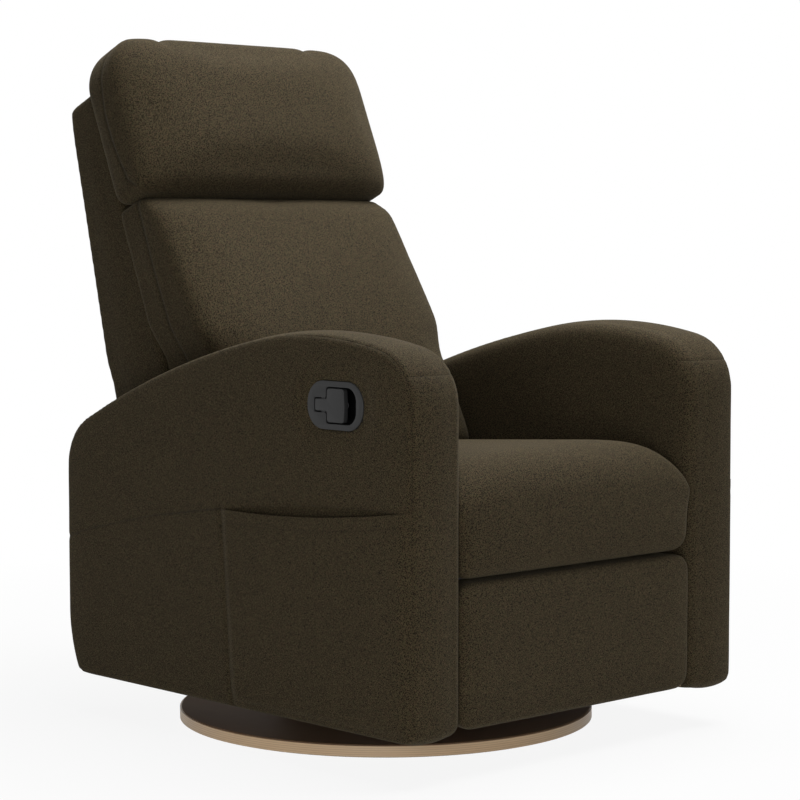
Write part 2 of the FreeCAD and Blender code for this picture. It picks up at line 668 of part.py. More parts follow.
def makeChassis():
    top = d.chassisTop
    hole = d.torqueTubeBore - d.runningClearance

    def crossTube(name, reach, end):
        outer = block(name + "Outer", (-end, reach - d.crossTube / 2, d.crossTubeBottom),
                      (end * 2, d.crossTube, d.crossTube))
        wall = d.crossTubeWall
        inner = block(name + "Inner",
                      (-end - beyond, reach - d.crossTube / 2 + wall, d.crossTubeBottom + wall),
                      (end * 2 + beyond * 2, d.crossTube - wall * 2, d.crossTube - wall * 2))
        return cut(name, outer, inner)

    keep("cross_tubes", group("CrossTubes", [
        crossTube("FrontTube", -d.crossTubeSpread, hangerInside + d.hangerSteel + d.bushFlange),
        crossTube("RearTube", d.crossTubeSpread, chassisLayer)]))
    low = top - d.railHeight
    for side in SIDES:
        deepEnd = d.crossTubeSpread + d.crossTube / 2 + d.chassisMargin
        outline = [pair(d.chassisFront, low), pair(d.rearLinkReach + d.chassisMargin, low),
                   pair(d.rearLinkReach, d.crossTubeBottom), (deepEnd, d.crossTubeBottom),
                   (d.chassisRear, low), (d.chassisRear, top), pair(d.chassisFront, top)]
        holes = [(hipPivot, hole), (controlPivot, d.rivetRadius), (backPivot, d.backPinRadius)]
        holes += [(spot, d.armBoltRadius) for spot in armBolts]
        keep("chassis_plate_" + side, plate("ChassisPlate" + side,
             sideStart(side, chassisLayer, d.linkSteel), d.linkSteel, outline, holes))
    pins = []
    for side in SIDES:
        outer = chassisLayer + d.linkSteel
        length = outer - linkLayer[3] + d.torqueTubeRadius
        pins.append(rod("HipPin" + side, hole, length,
                        (sideStart(side, outer - length, length), *hipPivot), "x"))
        pins.append(rivet("ControlPin" + side, side, controlPivot, d.rivetRadius, linkLayer[3], outer))
        pins.append(rivet("BackPin" + side, side, backPivot, d.backPinRadius,
                          linkLayer[1] - d.backPinReach, outer))
    keep("chassis_pins", group("ChassisPins", pins))
    keep("front_rail", block("FrontRail", (-chassisLayer, -d.chassisFront, low),
                             (chassisLayer * 2, d.railDepth, d.railHeight)))
    keep("rear_rail", block("RearRail", (-chassisLayer, d.rearRailReach, low),
                            (chassisLayer * 2, d.railDepth, d.railHeight)))


def makeFootrest():
    steel = d.linkSteel
    bothSides("rear_links", lambda side: link(
        "RearLink" + side, sideStart(side, linkLayer[1], steel), steel, (hipPivot, kneePivot),
        d.rearLinkWidth,
        [(hipPivot, d.torqueTubeRadius), (kneePivot, d.rivetRadius), (stayKnee, d.rivetRadius)]))
    bothSides("front_links", lambda side: link(
        "FrontLink" + side, sideStart(side, linkLayer[2], steel), steel, (tailPivot, toePivot),
        d.frontLinkWidth,
        [(tailPivot, d.rivetRadius), (kneePivot, rivetHole), (toePivot, rivetHole)]))
    tube = rod("TorqueTubeForm", d.torqueTubeRadius, (linkLayer[1] + steel) * 2,
               (-(linkLayer[1] + steel), *hipPivot), "x")
    bore = rod("TorqueTubeHole", d.torqueTubeBore, (linkLayer[1] + steel + beyond) * 2,
               (-(linkLayer[1] + steel + beyond), *hipPivot), "x")
    keep("drive_tube", cut("DriveTube", tube, bore))
    bothSides("control_links", lambda side: link(
        "ControlLink" + side, sideStart(side, linkLayer[3], steel), steel,
        (controlPivot, tailPivot), d.slimLinkWidth, [(controlPivot, rivetHole), (tailPivot, openHole)]))
    bothSides("footrest_stays", lambda side: link(
        "FootrestStay" + side, sideStart(side, linkLayer[2], steel), steel,
        (stayKnee, stayToe), d.slimLinkWidth, [(stayKnee, rivetHole), (stayToe, openHole)]))
    boardFace = -(d.footPadFront - d.footPadThickness - d.softClearance)
    boardBack = boardFace + d.footBoard

    def bracket(side):
        boss = d.slimLinkWidth
        bottom = d.footPadBottom + d.footBracketLow
        outline = [(boardBack, bottom), (toePivot[0], toePivot[1] - boss),
                   (toePivot[0] + boss, toePivot[1]), (stayToe[0] + boss, stayToe[1]),
                   (stayToe[0], stayToe[1] + boss), (boardBack, stayToe[1] + boss)]
        low = sideStart(side, linkLayer[1], steel)
        web = plate("FootBracketWeb" + side, low, steel, outline,
                    [(toePivot, d.rivetRadius), (stayToe, d.rivetRadius)])
        flange = block("FootBracketFlange" + side,
                       (sideStart(side, linkLayer[1] - d.footFlange, d.footFlange), boardBack, bottom),
                       (d.footFlange, steel, d.footPadTop - d.footBracketHigh - bottom))
        return fuse("FootBracket" + side, [web, flange])

    bothSides("footrest_brackets", bracket)
    inset = d.footBoardInset
    half = armInner - d.softInset
    keep("footrest_board", block("FootrestBoard", (-(half - inset), boardFace, d.footPadBottom + inset),
         ((half - inset) * 2, d.footBoard, d.footPadTop - d.footPadBottom - inset * 2)))
    front = -d.footPadFront
    pad = plate("FootrestPad", -half, half * 2, [
        (front, d.footPadBottom), (front + d.footPadThickness, d.footPadBottom),
        (front + d.footPadThickness, d.footPadTop), (front, d.footPadTop)])
    limit = front.value + d.footPadThickness.value - nearFace
    keep("footrest_pad", rounded(pad, d.footPadRound, lambda middle, edge: middle.y < limit))
    pins = []
    for side in SIDES:
        outer = linkLayer[1] + steel
        for name, point in (("Knee", kneePivot), ("StayKnee", stayKnee)):
            pins.append(rivet(name + "Pin" + side, side, point, d.rivetRadius, linkLayer[2], outer))
    keep("knee_pins", group("KneePins", pins))
    keep("tail_pins", group("TailPins", [
        rivet("TailPin" + side, side, tailPivot, d.rivetRadius, linkLayer[3], linkLayer[2] + steel)
        for side in SIDES]))
    pins = []
    for side in SIDES:
        outer = linkLayer[1] + steel
        for name, point in (("Toe", toePivot), ("StayToe", stayToe)):
            pins.append(rivet(name + "Pin" + side, side, point, d.rivetRadius, linkLayer[2], outer))
    keep("footrest_pins", group("FootrestPins", pins))


def sinuous(name, start, end, width, turns, wire):
    """Flat serpentine wire from start to end, made of straight rungs and half-round bends."""
    way = end - start
    forward = Vector(way).normalize()
    side = Vector(1, 0, 0)
    pitch = way.Length / turns
    radius = pitch / 2
    reach = width / 2 - radius
    edges = []
    for number in range(turns):
        sign = 1 if number % 2 else -1
        middle = start + forward * (pitch * (number + 0.5))
        near = middle - forward * radius
        far = middle + forward * radius
        edges.append(Part.makeLine(near - side * sign * reach, near + side * sign * reach))
        bend = Part.Arc(near + side * sign * reach, middle + side * sign * (reach + radius),
                        far + side * sign * reach)
        edges.append(bend.toShape())
    path = Part.Wire(edges)
    profile = Part.Wire([Part.makeCircle(wire, path.Edges[0].valueAt(path.Edges[0].FirstParameter), side)])
    return path.makePipeShell([profile], True, True)


def springSet(name, count, span, start, end, turns, gap, wire):
    """Row of serpentine springs side by side across the seat or the back."""
    shapes = []
    width = span / (count - 1) - gap
    for number in range(count):
        across = Vector(-span / 2 + span * number / (count - 1), 0, 0)
        shapes.append(sinuous(name, start + across, end + across, width, turns, wire))
    feature = doc.addObject("Part::Feature", name)
    feature.Shape = Part.makeCompound(shapes)
    return feature


def makeSeat():
    wire = d.seatSpringWire.value
    height = (d.chassisTop + d.runningClearance).value + wire
    front = Vector(0, -(d.chassisFront - d.railDepth / 2).value, height)
    rear = Vector(0, (d.rearRailReach + d.railDepth / 2).value, height)
    span = ((chassisLayer - d.seatSpringInset) * 2).value
    keep("seat_springs", springSet("SeatSprings", int(d.seatSpringCount.value), span, front, rear,
                                   int(d.seatSpringTurns.value), d.seatSpringGap.value, wire))
    front = -d.seatFront
    half = armInner - d.softClearance
    deck = d.chassisTop + d.runningClearance + d.seatSpringWire * 2 + d.softClearance
    outline = [(front, d.seatLip), (front + d.seatLipDepth, d.seatLip),
               (front + d.seatLipDepth, deck), (d.seatRear, deck),
               (d.seatRear, d.seatTopRear), (front + d.seatLipDepth, d.seatTopFront),
               (front, d.seatTopFront - d.seatFrontFall)]
    cushion = plate("SeatCushion", -half, half * 2, outline)
    lipEnd = front.value + nearFace
    upper = (deck.value + d.seatTopRear.value) / 2 + nearFace
    keep("seat_cushion", rounded(cushion, d.seatRound, lambda middle, edge:
                                 middle.y < lipEnd or middle.z > upper))


def backPoint(rise, forward):
    """Point of the side view in the leaning back's own frame."""
    return (d.backFootReach + sine(d.backLean) * rise - cosine(d.backLean) * forward,
            backFootHeight + cosine(d.backLean) * rise + sine(d.backLean) * forward)


def makeBack():
    half = armInner - d.softInset
    postOuter = linkLayer[1]
    low = -d.backFrameDrop
    top = d.backFrameRise
    timber = d.backFrameTimber

    def leaning(name, bottom, upper, face, start, span):
        corners = [backPoint(bottom, -face), backPoint(bottom, -(face + timber)),
                   backPoint(upper, -(face + timber)), backPoint(upper, -face)]
        return plate(name, start, span, corners)

    posts = [leaning("BackPost" + side, low, top, Dim(0),
                     sideStart(side, postOuter - d.backPostWidth, d.backPostWidth), d.backPostWidth)
             for side in SIDES]
    railSpan = (postOuter - d.backPostWidth) * 2
    rails = [leaning("BackRail" + name, bottom, bottom + d.backPostWidth, face, -(railSpan / 2), railSpan)
             for name, bottom, face in (("Low", low, Dim(0)),
                                        ("Middle", d.backMiddleRail, d.backSpringDepth * 2),
                                        ("Top", top - d.backPostWidth, Dim(0)))]
    keep("back_frame", group("BackFrame", posts + rails))
    boss = d.backBracketWidth
    outline = [(backPivot[0] - boss, backPivot[1], boss + d.backPinReach),
               (backPivot[0] + boss, backPivot[1]),
               backPoint(low, -timber), backPoint(d.backBracketRise, -timber),
               backPoint(d.backBracketRise, 0), backPoint(low, 0)]
    for side in SIDES:
        keep("back_bracket_" + side, plate("BackBracket" + side, sideStart(side, linkLayer[1], d.linkSteel),
             d.linkSteel, outline, [(backPivot, d.backPinRadius + d.runningClearance)]))
    wire = d.seatSpringWire
    clear = d.backPostWidth + wire + d.runningClearance
    ends = [backPoint(rise, -d.backSpringDepth) for rise in (low + clear, top - clear)]
    start, end = [Vector(0, spot[0].value, spot[1].value) for spot in ends]
    span = (railSpan - d.backSpringInset * 2).value
    keep("back_springs", springSet("BackSprings", int(d.backSpringCount.value), span, start, end,
                                   int(d.backSpringTurns.value), d.backSpringGap.value, wire.value))
    wall = d.backShellWall
    rearLow = (d.backShellRear, d.backShellBottom)
    rearHigh = backPoint(d.backShellTop, -d.backShellTopDepth)
    fall = (backFootHeight - d.backShellBottom) * (sine(d.backLean) / cosine(d.backLean))
    frontLow = (d.backFootReach - fall, d.backShellBottom)
    frontHigh = backPoint(d.backShellTop, 0)
    form = plate("BackShellForm", -half, half * 2, [frontLow, rearLow, rearHigh, frontHigh])
    edge = rearHigh[1].value
    rounded(form, d.backShellRound, lambda middle, line:
            abs(middle.z - edge) < nearFace and abs(middle.x) < nearFace)
    hollowHigh = backPoint(d.backShellTop - wall, -(d.backShellTopDepth - wall))
    hollowFront = backPoint(d.backShellTop - wall, wall)
    hollow = plate("BackShellHollow", -(half - wall), (half - wall) * 2, [
        (frontLow[0] - wall, frontLow[1] - wall), (rearLow[0] - d.backShellFoot, rearLow[1] - wall),
        hollowHigh, hollowFront])
    rounded(hollow, d.backShellRound - wall, lambda middle, line:
            abs(middle.z - hollowHigh[1].value) < nearFace and abs(middle.x) < nearFace)
    keep("back_shell", cut("BackShell", form, hollow))
    makeBackCushion(half)
    makePillow()


def leaningOutline(points):
    """Outline in the side view from (rise, forward) points, or (rise, forward, radius) before an arc."""
    return [backPoint(*point[:2]) + tuple(point[2:]) for point in points]


def makeBackCushion(half):
    rear = d.softClearance
    top = d.backCushionTop
    crown = d.backCushionCrown
    low = d.backCushionLowRound
    cushion = plate("BackCushion", -half, half * 2, leaningOutline([
        (0, rear), (top, rear), (top, d.backCushionTopDepth - crown, crown),
        (top - crown, d.backCushionTopDepth, d.backCushionBow),
        (low, d.backCushionFoot, low), (0, d.backCushionFoot - low)]))
    keep("back_cushion", rounded(cushion, d.cushionRound, lambda middle, line:
                                 abs(middle.x) > half.value - nearFace
                                 and forwardOf(middle) > nearFace))


def makePillow():
    rear = d.softClearance
    front = d.pillowDepth
    low = d.pillowBottom
    top = d.pillowTop
    behind = d.pillowRearRound
    under = d.pillowLowRound
    over = d.pillowFrontRound
    half = d.pillowWidth / 2
    pillow = plate("HeadrestPillow", -half, half * 2, leaningOutline([
        (low + behind, rear), (top - behind, rear, behind), (top, rear + behind),
        (top, front - over, over), (top - over, front), (low + under, front, under),
        (low, front - under), (low, rear + behind, behind)]))
    keep("headrest_pillow", rounded(pillow, d.pillowSideRound, lambda middle, line:
                                    abs(middle.x) > half.value - nearFace
                                    and forwardOf(middle) > behind.value * 2))


def forwardOf(point):
    """Distance of a point before the back frame's face."""
    lean = math.radians(d.backLean.value)
    return (-(point.y - d.backFootReach.value) * math.cos(lean)
            + (point.z - backFootHeight.value) * math.sin(lean))


def root(value):
    return Dim(math.sqrt(value.value), "sqrt(" + value.text + ")")


heelCentre = d.armBottom + root(d.armHeelInset * (d.armHeelRadius * 2 - d.armHeelInset))


def drawArm(sketch, inset):
    """Side outline of the arm, or the same outline drawn inside it: nose, crown, slope, shoulder, heel."""
    inset = dim(inset)
    front = -(d.armFront - inset)
    rear = d.armRear - inset
    radii = [radius - inset for radius in (d.armNoseRadius, d.armCrownRadius, d.armSlopeRadius,
                                           d.armShoulderRadius, d.armHeelRadius)]
    nose, crown, slope, shoulder, heel = [radius.value for radius in radii]
    crownCentre = Vector(-d.armCrownReach.value, (d.armTop - d.armCrownRadius).value, 0)
    rise = math.sqrt((crown - nose) ** 2 - (front.value + nose - crownCentre.x) ** 2)
    noseCentre = Vector(front.value + nose, crownCentre.y + rise, 0)
    share = (d.armCrownReach - d.armCrownEnd) / d.armCrownRadius
    turnAt = -d.armCrownReach + radii[1] * share
    lean = Vector(share.value, math.sqrt(1 - share.value ** 2), 0)
    slopeCentre = crownCentre + lean * (crown - slope)
    reach = rear.value - shoulder - slopeCentre.x
    shoulderCentre = Vector(rear.value - shoulder,
                            slopeCentre.y + math.sqrt((slope - shoulder) ** 2 - reach ** 2), 0)
    heelMiddle = Vector(rear.value - heel, heelCentre.value, 0)
    bottom = d.armBottom.value
    foot = Vector(heelMiddle.x + math.sqrt(heel ** 2 - (heelMiddle.y - bottom) ** 2), bottom, 0)

    def touching(centre, radius, other):
        return centre + (centre - other).normalize() * radius

    spots = [Vector(front.value, bottom, 0), foot, Vector(rear.value, heelMiddle.y, 0),
             Vector(rear.value, shoulderCentre.y, 0), touching(shoulderCentre, shoulder, slopeCentre),
             crownCentre + lean * crown, touching(noseCentre, nose, crownCentre),
             Vector(front.value, noseCentre.y, 0)]
    arcs = {1: heel, 3: shoulder, 4: slope, 5: crown, 6: nose}
    for number, start in enumerate(spots):
        end = spots[(number + 1) % len(spots)]
        curve = arcBetween(start, end, arcs[number]) if number in arcs else Part.LineSegment(start, end)
        sketch.addGeometry(curve, False)
    for number in range(len(spots)):
        after = (number + 1) % len(spots)
        kind = "Coincident" if number in (0, 7) else "Tangent"
        sketch.addConstraint(Sketcher.Constraint(kind, number, 2, after, 1))
    for number, radius in zip((6, 5, 4, 3, 1), radii):
        held = sketch.addConstraint(Sketcher.Constraint("Radius", number, radius.value))
        sketch.setExpression("Constraints[%d]" % held, radius.text)
    pin(sketch, 0, 1, (front, d.armBottom))
    pin(sketch, 5, 3, (-d.armCrownReach, d.armTop - d.armCrownRadius))
    sketch.addConstraint(Sketcher.Constraint("Vertical", 7))
    sketch.addConstraint(Sketcher.Constraint("Vertical", 2))
    for kind, index, spot, value in (("DistanceX", 5, 1, turnAt), ("DistanceX", 2, 1, rear),
                                     ("DistanceY", 1, 3, heelCentre), ("DistanceY", 0, 2, d.armBottom)):
        held = sketch.addConstraint(Sketcher.Constraint(kind, -1, 1, index, spot, value.value))
        sketch.setExpression("Constraints[%d]" % held, value.text)


def armSlab(name, side, inner, thickness, inset):
    return padded(name, "YZ_Plane", sideStart(side, inner, thickness), thickness,
                  lambda sketch: drawArm(sketch, inset))


def armBox(name, side, inner, thickness, low, high):
    """Box across a layer of an arm, between two corners of the side view."""
    return block(name, (sideStart(side, inner, thickness), low[0], low[1]),
                 (thickness, high[0] - low[0], high[1] - low[1]))


leverMiddle = (-(d.armFront - d.leverBehind), d.armTop - d.leverDrop)


def makeArm(side):
    whole = armSlab("ArmWhole" + side, side, armInner, d.armThickness, 0)
    face = SIDES[side] * armInner.value
    floor = d.armBottom.value + nearFace
    whole = rounded(whole, d.armInnerRound, lambda middle, edge:
                    abs(middle.x - face) < nearFace and middle.z > floor)
    core = armSlab("ArmCore" + side, side, armInner - beyond, d.armThickness + beyond * 2,
                   d.bandThickness)
    band = cut("ArmBand" + side, whole, core)
    front = armBox("FrontBandRoom" + side, side, armInner - beyond, d.armThickness + beyond * 2,
                   (-d.armFront - beyond, d.armBottom - beyond),
                   (-(d.armFront - d.armNoseRadius), d.bandSeamHeight))
    keep("arm_front_band_" + side, common("ArmFrontBand" + side, [band, front]))
    keep("arm_top_band_" + side, cut("ArmTopBand" + side, band, front))
    inset = d.bandThickness + d.softClearance
    padInner = armOuter - d.sidePadThickness
    boardInner = padInner - d.armBoard
    pocketBox = armBox("PocketRoom" + side, side, padInner - beyond, d.sidePadThickness + beyond * 2,
                       (-d.armFront, d.armBottom - beyond),
                       (-(d.pocketRear - d.softClearance), d.pocketLip + d.pocketMouth))
    openings = [pocketBox]
    board = armSlab("OuterBoardForm" + side, side, boardInner, d.armBoard, inset)
    if side == "right":
        room = d.softClearance
        cup = armBox("CupRoom" + side, side, boardInner - beyond,
                     d.sidePadThickness + d.armBoard + beyond * 2,
                     (leverMiddle[0] - d.cupLength / 2 - room, leverMiddle[1] - d.cupHeight / 2 - room),
                     (leverMiddle[0] + d.cupLength / 2 + room, leverMiddle[1] + d.cupHeight / 2 + room))
        openings.append(cup)
        board = cut("OuterBoard" + side, board, cup)
    keep("arm_outer_board_" + side, board)
    pad = armSlab("SidePadForm" + side, side, padInner, d.sidePadThickness, inset)
    keep("arm_side_panel_" + side, cut("SidePad" + side, pad, fuse("SidePadCuts" + side, openings)
                                       if len(openings) > 1 else openings[0]))
    innerBoard = armInner + d.innerPadThickness

    def bored(name, radius, base):
        tools = [rod(name + "Bore%d" % number, radius, d.armThickness,
                     (sideStart(side, armInner - beyond, d.armThickness), *spot), "x")
                 for number, spot in enumerate(armBolts)]
        return cut(name, base, fuse(name + "Bores", tools))

    keep("arm_inner_board_" + side, bored("InnerBoard" + side, d.armBoltRadius + d.runningClearance,
         armSlab("InnerBoardForm" + side, side, innerBoard, d.armBoard, inset)))
    layer = armBox("InnerPadRoom" + side, side, armInner, d.innerPadThickness - d.softClearance,
                   (-d.armFront, d.armBottom), (d.armRear, d.armTop))
    keep("arm_inner_pad_" + side, bored("InnerPad" + side, d.armSpacerRadius + d.softClearance,
         common("InnerPadForm" + side, [whole, layer])))
    pocketLow = d.armBottom + d.softClearance
    form = armBox("PocketForm" + side, side, padInner, d.sidePadThickness,
                  (-d.pocketFront, pocketLow), (-d.pocketRear, d.pocketLip))
    hollow = armBox("PocketHollow" + side, side, padInner - beyond,
                    d.sidePadThickness - d.pocketSheet + beyond,
                    (-(d.pocketFront - d.pocketRim), pocketLow + d.pocketRim),
                    (-(d.pocketRear + d.pocketRim), d.pocketLip + beyond))
    keep("pocket_panel_" + side, cut("PocketPanel" + side, form, hollow))
    timberInner = innerBoard + d.armBoard
    span = boardInner - timberInner
    low = d.armBottom + d.softClearance
    postTop = d.bandSeamHeight - d.armTimber
    frontPost = armBox("FrontPost" + side, side, timberInner, span, (-(d.armFront - inset), low),
                       (-(d.armFront - inset - d.armTimber), postTop))
    rearEnd = d.armRear - d.armHeelInset - inset
    rearPost = armBox("RearPost" + side, side, timberInner, span, (rearEnd - d.armTimber, low + d.armTimber),
                      (rearEnd, d.armRailRear - d.armTimber))
    bottomRail = armBox("BottomRail" + side, side, timberInner, span,
                        (-(d.armFront - inset - d.armTimber), low),
                        (rearEnd - d.armTimber, low + d.armTimber))
    railFront = -(d.armFront - inset - d.armTimber)
    railEnd = rearEnd - d.armTimber
    topRail = plate("TopRail" + side, sideStart(side, timberInner, span), span, [
        (railFront, postTop - d.armTimber), (railEnd, d.armRailRear - d.armTimber),
        (railEnd, d.armRailRear), (railFront, postTop)])
    keep("arm_timbers_" + side, group("ArmTimbers" + side, [frontPost, rearPost, bottomRail, topRail]))


def makeArmBolts():
    """Bolts from inside each arm, through a spacer, into the chassis plates."""
    innerBoard = armInner + d.innerPadThickness
    spacerInner = chassisLayer + d.linkSteel
    headInner = innerBoard + d.armBoard
    bolts = []
    spacers = []
    for side in SIDES:
        for number, spot in enumerate(armBolts):
            name = side + str(number)
            shank = rod("ArmBoltShank" + name, d.armBoltRadius, headInner - chassisLayer,
                        (sideStart(side, chassisLayer, headInner - chassisLayer), *spot), "x")
            head = rod("ArmBoltHead" + name, d.armBoltHead, d.armBoltHeadHeight,
                       (sideStart(side, headInner, d.armBoltHeadHeight), *spot), "x")
            bolts.append(fuse("ArmBolt" + name, [shank, head]))
            length = innerBoard - spacerInner
            start = (sideStart(side, spacerInner, length), *spot)
            spacers.append(cut("ArmSpacer" + name,
                               rod("ArmSpacerForm" + name, d.armSpacerRadius, length, start, "x"),
                               rod("ArmSpacerBore" + name, d.armBoltRadius + d.runningClearance, length,
                                   start, "x")))
    keep("arm_bolts", group("ArmBolts", bolts))
    keep("arm_spacers", group("ArmSpacers", spacers))


recessHead = leverMiddle[0] - (d.stemLength + d.headLength) / 2
recessWaist = recessHead + d.headLength
recessRear = recessWaist + d.stemLength
paddlePin = (recessRear - d.paddleTail - d.paddleSwingGap, leverMiddle[1])
bezelFace = armOuter + d.bezelProud


def recessOutline(gap, rearGap, front, corner=None):
    """T outline of the lever recess, or of the paddle that lies in it with a gap all round."""
    head = d.headHeight / 2 - gap
    stem = d.stemHeight / 2 - gap
    middle = leverMiddle[1]
    waist = recessWaist - rearGap
    end = recessRear - rearGap
    rear = [(waist, middle - head), (waist, middle - stem), (end, middle - stem),
            (end, middle + stem), (waist, middle + stem), (waist, middle + head)]
    if corner:
        return rear + [(front + corner, middle + head, corner), (front, middle + head - corner),
                       (front, middle - head + corner, corner), (front + corner, middle - head)]
    return rear + [(front, middle + head), (front, middle - head)]


def makeLever():
    half = d.bezelLength / 2
    flange = block("BezelFlangeForm", (-bezelFace, leverMiddle[0] - half, leverMiddle[1] - d.bezelHeight / 2),
                   (d.bezelProud, d.bezelLength, d.bezelHeight))
    doc.recompute()
    rim = doc.addObject("Part::Fillet", "BezelFlange")
    rim.Base = flange
    radius = d.bezelRound.value
    rim.Edges = [(number, radius, radius) for number, edge in enumerate(flange.Shape.Edges, 1)
                 if abs(edge.Length - d.bezelProud.value) < d.runningClearance.value]
    cup = block("BezelCup", (-armOuter, leverMiddle[0] - d.cupLength / 2, leverMiddle[1] - d.cupHeight / 2),
                (d.cupDepth, d.cupLength, d.cupHeight))
    recess = plate("BezelRecess", -(bezelFace + beyond),
                   d.bezelProud + d.cupDepth - d.cupFloor + beyond,
                   recessOutline(Dim(0), Dim(0), recessHead, d.recessRound))
    pinDepth = d.paddleThickness + d.leverBarrelRadius / 2
    pinX = -(bezelFace - pinDepth)
    pinLow = leverMiddle[1] - d.stemHeight / 2 - d.leverPinGrip
    pinLength = d.stemHeight + d.leverPinGrip * 2
    pinHole = rod("LeverPinHole", d.leverPinRadius, pinLength, (pinX, paddlePin[0], pinLow))
    keep("lever_bezel", cut("LeverBezel", fuse("BezelForm", [rim, cup]),
                            fuse("BezelCuts", [recess, pinHole])))
    keep("lever_pin", rod("LeverPin", d.leverPinRadius, pinLength, (pinX, paddlePin[0], pinLow)))
    gap = d.paddleGap
    blade = plate("PaddleBlade", -bezelFace, d.paddleThickness,
                  recessOutline(gap, d.paddleSwingGap, recessHead + d.fingerWell))
    barrelLow = leverMiddle[1] - d.stemHeight / 2 + gap
    barrel = rod("PaddleBarrel", d.leverBarrelRadius, d.stemHeight - gap * 2, (pinX, paddlePin[0], barrelLow))
    bore = rod("PaddleBore", d.leverPinRadius + d.runningClearance, d.stemHeight,
               (pinX, paddlePin[0], leverMiddle[1] - d.stemHeight / 2))
    keep("lever_paddle", cut("LeverPaddle", fuse("PaddleForm", [blade, barrel]), bore))
    seat = d.leverSpringWire + d.springSeatGap
    springStart = (-(bezelFace - d.paddleThickness - seat), recessWaist - d.leverSpringReach,
                   leverMiddle[1])
    room = d.bezelProud + d.cupDepth - d.cupFloor - d.paddleThickness
    keep("lever_spring", coil("LeverSpring", d.leverBarrelRadius, d.leverSpringWire, room - seat * 2,
                              d.leverSpringTurns, springStart, TURNS["x"]))


makeBase()
makeSwivel()
makeRocker()
makeChassis()
makeFootrest()
makeSeat()
makeBack()
for side in SIDES:
    makeArm(side)
makeArmBolts()
makeLever()
doc.recompute()
for thing in doc.Objects:
    if "Invalid" in thing.State or "Error" in thing.State:
        raise RuntimeError("failed: " + thing.Name + " " + str(thing.State))
os.makedirs("parts", exist_ok=True)
for node, thing in pieces.items():
    shape = thing.Shape
    if shape.isNull() or not shape.isValid() or not shape.Solids:
        raise RuntimeError("bad shape: " + node)
    shape.exportStep("parts/%s.step" % node)
    print(node, len(shape.Solids), round(shape.Volume / 1000, 1), "cm3")
print(len(pieces), "nodes")
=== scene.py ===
import math

import bmesh
import bpy
import numpy as np
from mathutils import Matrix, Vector
from mathutils.bvhtree import BVHTree


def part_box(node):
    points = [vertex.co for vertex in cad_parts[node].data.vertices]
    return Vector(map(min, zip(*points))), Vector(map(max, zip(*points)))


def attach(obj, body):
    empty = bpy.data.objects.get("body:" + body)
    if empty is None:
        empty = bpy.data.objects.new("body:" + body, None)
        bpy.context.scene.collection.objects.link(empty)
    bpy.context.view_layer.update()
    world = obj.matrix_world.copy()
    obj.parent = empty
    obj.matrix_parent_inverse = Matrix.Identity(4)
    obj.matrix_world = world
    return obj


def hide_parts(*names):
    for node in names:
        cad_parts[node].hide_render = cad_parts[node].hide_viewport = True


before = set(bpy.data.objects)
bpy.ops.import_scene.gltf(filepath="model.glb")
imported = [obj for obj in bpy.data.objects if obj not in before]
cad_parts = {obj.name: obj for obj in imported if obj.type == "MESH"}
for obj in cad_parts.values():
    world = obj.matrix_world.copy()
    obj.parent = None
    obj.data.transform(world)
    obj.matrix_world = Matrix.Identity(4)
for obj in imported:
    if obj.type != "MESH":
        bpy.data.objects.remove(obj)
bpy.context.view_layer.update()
print("frame loaded:", len(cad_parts), "nodes")

sides = {"right": -1, "left": 1}  # the sitter's right arm is at -X


# Shader maths written as expressions

class Value:
    def __init__(self, tree, socket):
        self.tree = tree
        self.socket = socket

    def maths(self, operation, *items):
        made = self.tree.nodes.new("ShaderNodeMath")
        made.operation = operation
        for place, item in zip(made.inputs, items):
            if isinstance(item, Value):
                self.tree.links.new(item.socket, place)
            else:
                place.default_value = item
        return Value(self.tree, made.outputs[0])

    def __add__(self, other):
        return self.maths("ADD", self, other)

    def __sub__(self, other):
        return self.maths("SUBTRACT", self, other)

    def __mul__(self, other):
        return self.maths("MULTIPLY", self, other)

    def __truediv__(self, other):
        return self.maths("DIVIDE", self, other)

    def __pow__(self, other):
        return self.maths("POWER", self, other)

    def __abs__(self):
        return self.maths("ABSOLUTE", self)

    def __radd__(self, other):
        return self.maths("ADD", other, self)

    def __rsub__(self, other):
        return self.maths("SUBTRACT", other, self)

    def __rmul__(self, other):
        return self.maths("MULTIPLY", other, self)

    def fraction(self):
        return self.maths("FRACT", self)

    def highest(self, other):
        return self.maths("MAXIMUM", self, other)

    def clamped(self):
        return self.maths("MINIMUM", self.highest(0.0), 1.0)


